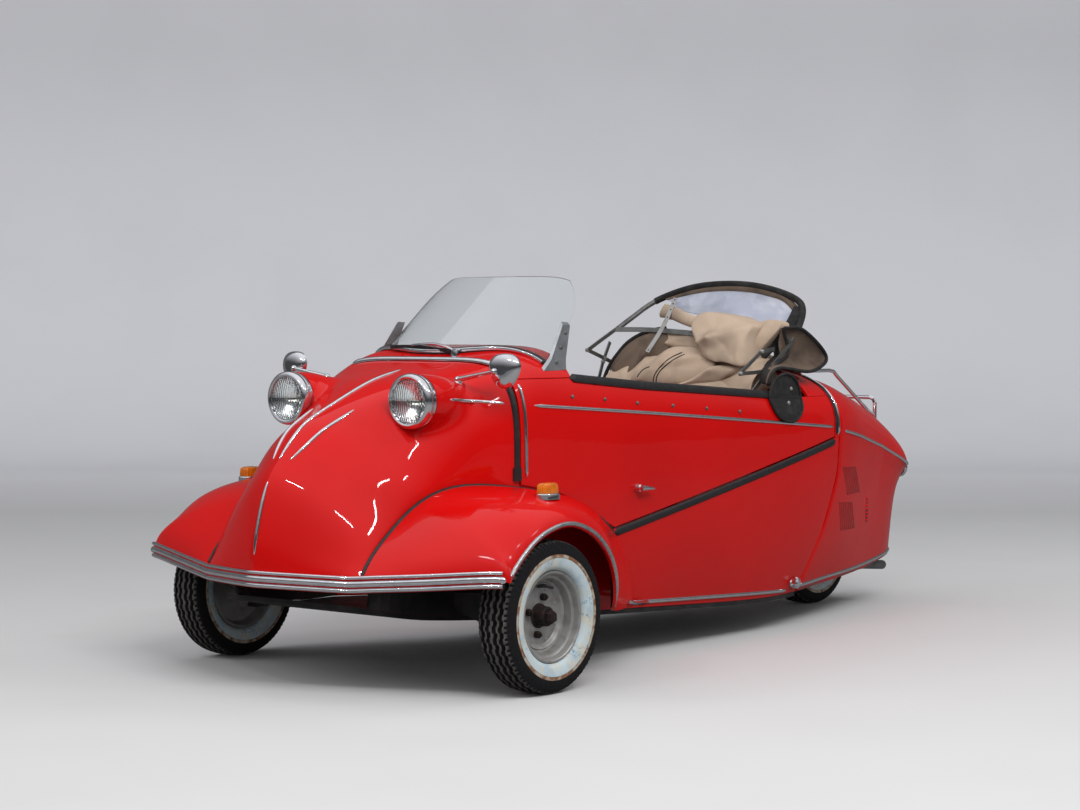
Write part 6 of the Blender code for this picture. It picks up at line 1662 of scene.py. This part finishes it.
def swollen(node, name, face):
    """A cushion for a packed pad: its remeshed copy blown up as cloth under pressure, its travel capped,
    then sewn."""
    scene = bpy.context.scene
    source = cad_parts[node]
    mesh = source.data.copy()
    mesh.transform(source.matrix_world)
    obj = bpy.data.objects.new(name, mesh)
    scene.collection.objects.link(obj)
    low, high = (np.array(corner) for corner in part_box(node))
    points = positions(mesh)
    middle = (low + high) / 2
    mesh.vertices.foreach_set("co", (middle + (points - middle) * (1 - 0.012 / (high - low))).ravel())
    remesh = obj.modifiers.new("remesh", "REMESH")
    remesh.mode = "VOXEL"
    remesh.voxel_size = 0.006
    obj.data = bpy.data.meshes.new_from_object(obj.evaluated_get(bpy.context.evaluated_depsgraph_get()))
    obj.modifiers.clear()
    start = positions(obj.data)
    cap = sizes().seat_loft
    cloth_sim = obj.modifiers.new("cloth", "CLOTH")
    cloth_sim.settings.use_pressure = True
    cloth_sim.settings.uniform_pressure_force = 4.0
    cloth_sim.settings.effector_weights.gravity = 0
    for step in range(1, 21):
        scene.frame_set(step)
    shift = positions(obj.evaluated_get(bpy.context.evaluated_depsgraph_get()).data) - start
    obj.modifiers.clear()
    scene.frame_set(1)
    length = np.linalg.norm(shift, axis=1)[:, None]
    placed = start + shift * np.minimum(1, cap / np.maximum(length, 1e-9))
    sewn = sum(np.exp(-(((placed[:, 1] - y) / 0.0065) ** 2)) for y in (-0.138, -0.046, 0.046, 0.138))
    outside = normals_of(obj.data)
    placed -= outside * (0.006 * sewn * (outside @ np.array(face, float) > 0.3))[:, None]
    placed = np.clip(placed, low + 0.0004, high + np.array([0.0, 0.0, cap]))
    obj.data.vertices.foreach_set("co", placed.ravel())
    obj.data.update()
    obj.data.shade_smooth()
    obj.data.materials.clear()
    obj.data.materials.append(vinyl())
    finer = obj.modifiers.new("finer", "SUBSURF")
    finer.levels = 1
    finer.render_levels = 1
    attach(obj, "body")
    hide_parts(node)
    return obj


def cushions():
    """The seats' cushions and backs with sewn channels."""
    swollen("seat_pad_front", "cushion_front", (0, 0, 1))
    swollen("seat_pad_rear", "cushion_rear", (0, 0, 1))
    swollen("seat_back_front", "back_front", (1, 0, 0))
    swollen("seat_back_rear", "back_rear", (1, 0, 0))


def cabin():
    """Dial and knobs on the dash, grips on the bar, and a ribbed mat on the floor."""
    dash_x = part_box("dash_panel")[0].x
    dial_z = 0.690
    face = turned([(0.0, 0.055), (-0.006, 0.055), (-0.010, 0.052), (-0.010, 0.001)], (dash_x, 0.0, dial_z),
                  (1, 0, 0), 48)
    piece("speed_dial", face, black_paint_and_shade(), "body")
    ring = turned([(-0.009, 0.053), (-0.012, 0.055), (-0.009, 0.057), (-0.004, 0.056)],
                  (dash_x, 0.0, dial_z), (1, 0, 0), 64, closed=True)
    piece("dial_ring", ring, chrome(), "body")
    ticks = []
    for k in range(11):
        turn = math.radians(225 - 27 * k)
        ahead = np.array([0.0, math.cos(turn), math.sin(turn)])
        start = np.array([dash_x - 0.0103, 0.0, dial_z])
        line = start + np.linspace(0.040, 0.048 if k % 2 else 0.036, 4)[:, None] * ahead
        ticks.append(tube(line, 0.0009, 6))
    points_to = np.array([0.0, -0.62, -0.78])
    needle = np.array([dash_x - 0.0125, 0.0, dial_z]) + np.linspace(-0.008, 0.034, 6)[:, None] * points_to
    ticks.append(tube(needle, np.linspace(0.0016, 0.0007, 6), 8))
    piece("dial_marks", together(*ticks), rim_silver(), "body")
    knobs = []
    for y, z in ((0.105, 0.700), (0.140, 0.690), (-0.105, 0.700), (-0.140, 0.690), (0.120, 0.650),
                 (-0.120, 0.650)):
        knobs.append(turned([(0.0, 0.004), (-0.012, 0.0035), (-0.014, 0.009), (-0.021, 0.010),
                             (-0.024, 0.007), (-0.025, 0.001)], (dash_x, y, z), (1, 0, 0), 24))
    piece("dash_knobs", together(*knobs), black_paint_and_shade(), "body")
    grips = []
    for side in (1, -1):
        path = smooth_path([(0.5235, side * 0.136, 0.6465), (0.5185, side * 0.146, 0.6545),
                            (0.5125, side * 0.160, 0.6615), (0.5075, side * 0.1765, 0.6665)], 60)
        radius = 0.0138 + 0.0007 * np.sin(np.linspace(0, 22 * math.pi, 60))
        grips.append(tube(path, radius, 20))
    piece("bar_grips", together(*grips), rubber(), "steering")
    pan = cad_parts["floor_pan"]
    tree = BVHTree.FromPolygons([pan.matrix_world @ v.co for v in pan.data.vertices],
                                [tuple(p.vertices) for p in pan.data.polygons])
    level = tree.ray_cast(Vector((0.62, 0.0, 0.50)), Vector((0, 0, -1)))[0].z
    x, y = np.meshgrid(np.linspace(0.43, 0.80, 16), np.linspace(-0.20, 0.20, 150), indexing="ij")
    rib = 0.0014 * (0.5 + 0.5 * np.cos(y * 2 * math.pi / 0.016))
    inner = np.clip((0.20 - np.abs(y)) / 0.012, 0, 1) * np.clip((0.185 - np.abs(x - 0.615)) / 0.012, 0, 1)
    grid = np.stack([x, y, level + 0.0042 + rib * inner], -1)
    up = np.zeros_like(grid)
    up[..., 2] = 1.0
    piece("floor_mat", shell(grid, up, 0.0038), rubber(), "body")


def cad_finishes():
    """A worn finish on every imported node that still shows."""
    by_node = (("wheelhouse", black_paint_and_shade), ("floor_pan", black_paint_and_shade), ("rear_bulkhead", black_paint_and_shade),
               ("dash_panel", red_paint), ("steering_column", black_paint_and_shade), ("steering_bar", black_paint_and_shade),
               ("seat_base", black_paint_and_shade), ("seat", vinyl), ("rear_frame", black_paint_and_shade),
               ("rear_fork", black_paint_and_shade), ("engine", cast_alloy), ("exhaust", dull_steel),
               ("front_arm", black_paint_and_shade), ("cover_catch", chrome), ("knuckle", rusty),
               ("screen_bracket", cast_alloy), ("hood_frame", dull_steel), ("hood_flap", black_cloth),
               ("door_handle", chrome), ("tail_rack", chrome), ("arch_hoop", red_paint),
               ("lid_rail", red_paint), ("tail_cover", red_paint), ("side_right", red_paint), )
    ruby = finish("ruby_plastic", (0.35, 0.004, 0.006), (0.2, 0.002, 0.003), scale=30.0, rough=(0.12, 0.2),
                  coat=0.6)
    for name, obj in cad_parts.items():
        if obj.hide_render:
            continue
        made = ruby if name.startswith("tail_lamp") else None
        for start, maker in by_node:
            if made is None and name.startswith(start):
                made = maker()
        if made is None:
            raise RuntimeError("no finish for node " + name)
        for index in range(len(obj.material_slots)):
            obj.material_slots[index].material = made




class CAR_OT_stage(bpy.types.Operator):
    """Floor, light and the photograph's camera."""

    bl_idname = "car.stage"
    bl_label = "Stage and camera"

    def execute(self, context):
        """Run the step."""
        set_stage()
        return {"FINISHED"}


class CAR_OT_body_panels(bpy.types.Operator):
    """Nose with its two lamp pods, wings, flanks and the fixed arch."""

    bl_idname = "car.body_panels"
    bl_label = "Nose, wings and flanks"

    def execute(self, context):
        """Run the step."""
        body_panels()
        return {"FINISHED"}


class CAR_OT_lid_panels(bpy.types.Operator):
    """Cowl, door, rail and rear deck of the lid's ring round the cockpit."""

    bl_idname = "car.lid_panels"
    bl_label = "Lid panels"

    def execute(self, context):
        """Run the step."""
        lid_panels()
        return {"FINISHED"}


class CAR_OT_tail_panel(bpy.types.Operator):
    """The tail cover as one thin shell."""

    bl_idname = "car.tail_panel"
    bl_label = "Tail panel"

    def execute(self, context):
        """Run the step."""
        tail_panel()
        return {"FINISHED"}


class CAR_OT_bumper(bpy.types.Operator):
    """Three bright ribs of their own widths with red grooves along the lip of the nose and both wings."""

    bl_idname = "car.bumper"
    bl_label = "Bumper ribs"

    def execute(self, context):
        """Run the step."""
        bumper()
        return {"FINISHED"}


class CAR_OT_strips(bpy.types.Operator):
    """The bright strips on the nose, the cowl arc, the arch's strips, the belt, shoulder and sill
    strips."""

    bl_idname = "car.strips"
    bl_label = "Bright strips"

    def execute(self, context):
        """Run the step."""
        nose_strips()
        return {"FINISHED"}


class CAR_OT_seals(bpy.types.Operator):
    """Rubber along the cockpit's rim, the slanted door seam and the door's front edge; studs below the
    rim."""

    bl_idname = "car.seals"
    bl_label = "Rubber seals and studs"

    def execute(self, context):
        """Run the step."""
        seals()
        return {"FINISHED"}


class CAR_OT_beads(bpy.types.Operator):
    """A grey bead round each wheel arch above its red lip, a clip at its foot, and dark beads in the
    wings' seams."""

    bl_idname = "car.beads"
    bl_label = "Arch and seam beads"

    def execute(self, context):
        """Run the step."""
        arch_beads()
        return {"FINISHED"}


class CAR_OT_headlamps(bpy.types.Operator):
    """Each lamp: a short bright bucket, a thick bright ring, a mirror bowl, a bulb and a fluted lens."""

    bl_idname = "car.headlamps"
    bl_label = "Headlamps"

    def execute(self, context):
        """Run the step."""
        headlamps()
        return {"FINISHED"}


class CAR_OT_mirrors(bpy.types.Operator):
    """Each mirror: a rounded shield on a straight arm with a joint at both ends, and its glass behind."""

    bl_idname = "car.mirrors"
    bl_label = "Mirrors"

    def execute(self, context):
        """Run the step."""
        mirrors()
        return {"FINISHED"}


class CAR_OT_indicators(bpy.types.Operator):
    """Each indicator: a bright base with end caps and an amber lens with upright ribs."""

    bl_idname = "car.indicators"
    bl_label = "Indicators"

    def execute(self, context):
        """Run the step."""
        indicators()
        return {"FINISHED"}


class CAR_OT_windscreen(bpy.types.Operator):
    """The clear wrapped screen with its rubber foot, brackets, screws and wiper."""

    bl_idname = "car.windscreen"
    bl_label = "Windscreen"

    def execute(self, context):
        """Run the step."""
        windscreen()
        return {"FINISHED"}


class CAR_OT_wheels(bpy.types.Operator):
    """All three wheels."""

    bl_idname = "car.wheels"
    bl_label = "Wheels"

    def execute(self, context):
        """Run the step."""
        wheels()
        return {"FINISHED"}


class CAR_OT_tail_details(bpy.types.Operator):
    """Vent slits and louvres in the tail's flanks, each slit a flush black strip of painted shade, a bright
    ring round each tail lamp, and the catches' knobs."""

    bl_idname = "car.tail_details"
    bl_label = "Vents and tail lamps"

    def execute(self, context):
        """Run the step."""
        tail_details()
        return {"FINISHED"}


class CAR_OT_hood(bpy.types.Operator):
    """The folded hood's canvas: a low heap, six lobes on it, a roll, the side lobe and the end flap's
    edges."""

    bl_idname = "car.hood"
    bl_label = "Folded hood"

    def execute(self, context):
        """Run the step."""
        hood()
        return {"FINISHED"}


class CAR_OT_cushions(bpy.types.Operator):
    """The seats' cushions and backs with sewn channels."""

    bl_idname = "car.cushions"
    bl_label = "Seat cushions"

    def execute(self, context):
        """Run the step."""
        cushions()
        return {"FINISHED"}


class CAR_OT_cabin(bpy.types.Operator):
    """Dial and knobs on the dash, grips on the bar, and a ribbed mat on the floor."""

    bl_idname = "car.cabin"
    bl_label = "Cabin"

    def execute(self, context):
        """Run the step."""
        cabin()
        return {"FINISHED"}


class CAR_OT_finishes(bpy.types.Operator):
    """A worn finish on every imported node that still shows."""

    bl_idname = "car.finishes"
    bl_label = "Finishes of packed nodes"

    def execute(self, context):
        """Run the step."""
        cad_finishes()
        return {"FINISHED"}


OPERATORS = (
    CAR_OT_stage, CAR_OT_body_panels, CAR_OT_lid_panels, CAR_OT_tail_panel,
    CAR_OT_bumper, CAR_OT_strips, CAR_OT_seals, CAR_OT_beads,
    CAR_OT_headlamps, CAR_OT_mirrors, CAR_OT_indicators, CAR_OT_windscreen,
    CAR_OT_wheels, CAR_OT_tail_details, CAR_OT_hood, CAR_OT_cushions,
    CAR_OT_cabin, CAR_OT_finishes,
)


class CAR_PT_looks(bpy.types.Panel):
    """Lists the settings and the building steps."""

    bl_label = "Bubble car"
    bl_idname = "CAR_PT_looks"
    bl_space_type = "VIEW_3D"
    bl_region_type = "UI"
    bl_category = "Bubble car"

    def draw(self, context):
        """Show every setting, then a button for every step."""
        for group in (context.scene.car_colours, context.scene.car_sizes):
            for key in group.bl_rna.properties.keys():
                if key not in ("rna_type", "name"):
                    self.layout.prop(group, key)
        for step in OPERATORS:
            self.layout.operator(step.bl_idname)


CLASSES = (CarColours, CarSizes, *OPERATORS, CAR_PT_looks)


def register():
    """Add the settings, operators and panel."""
    for cls in CLASSES:
        bpy.utils.register_class(cls)
    bpy.types.Scene.car_colours = bpy.props.PointerProperty(type=CarColours)
    bpy.types.Scene.car_sizes = bpy.props.PointerProperty(type=CarSizes)


def unregister():
    """Take them away again."""
    del bpy.types.Scene.car_sizes
    del bpy.types.Scene.car_colours
    for cls in reversed(CLASSES):
        bpy.utils.unregister_class(cls)


def main():
    """Build every piece in order."""
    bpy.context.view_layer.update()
    register()
    for step in OPERATORS:
        getattr(bpy.ops.car, step.bl_idname.removeprefix("car."))()


if __name__ == "__main__":
    main()
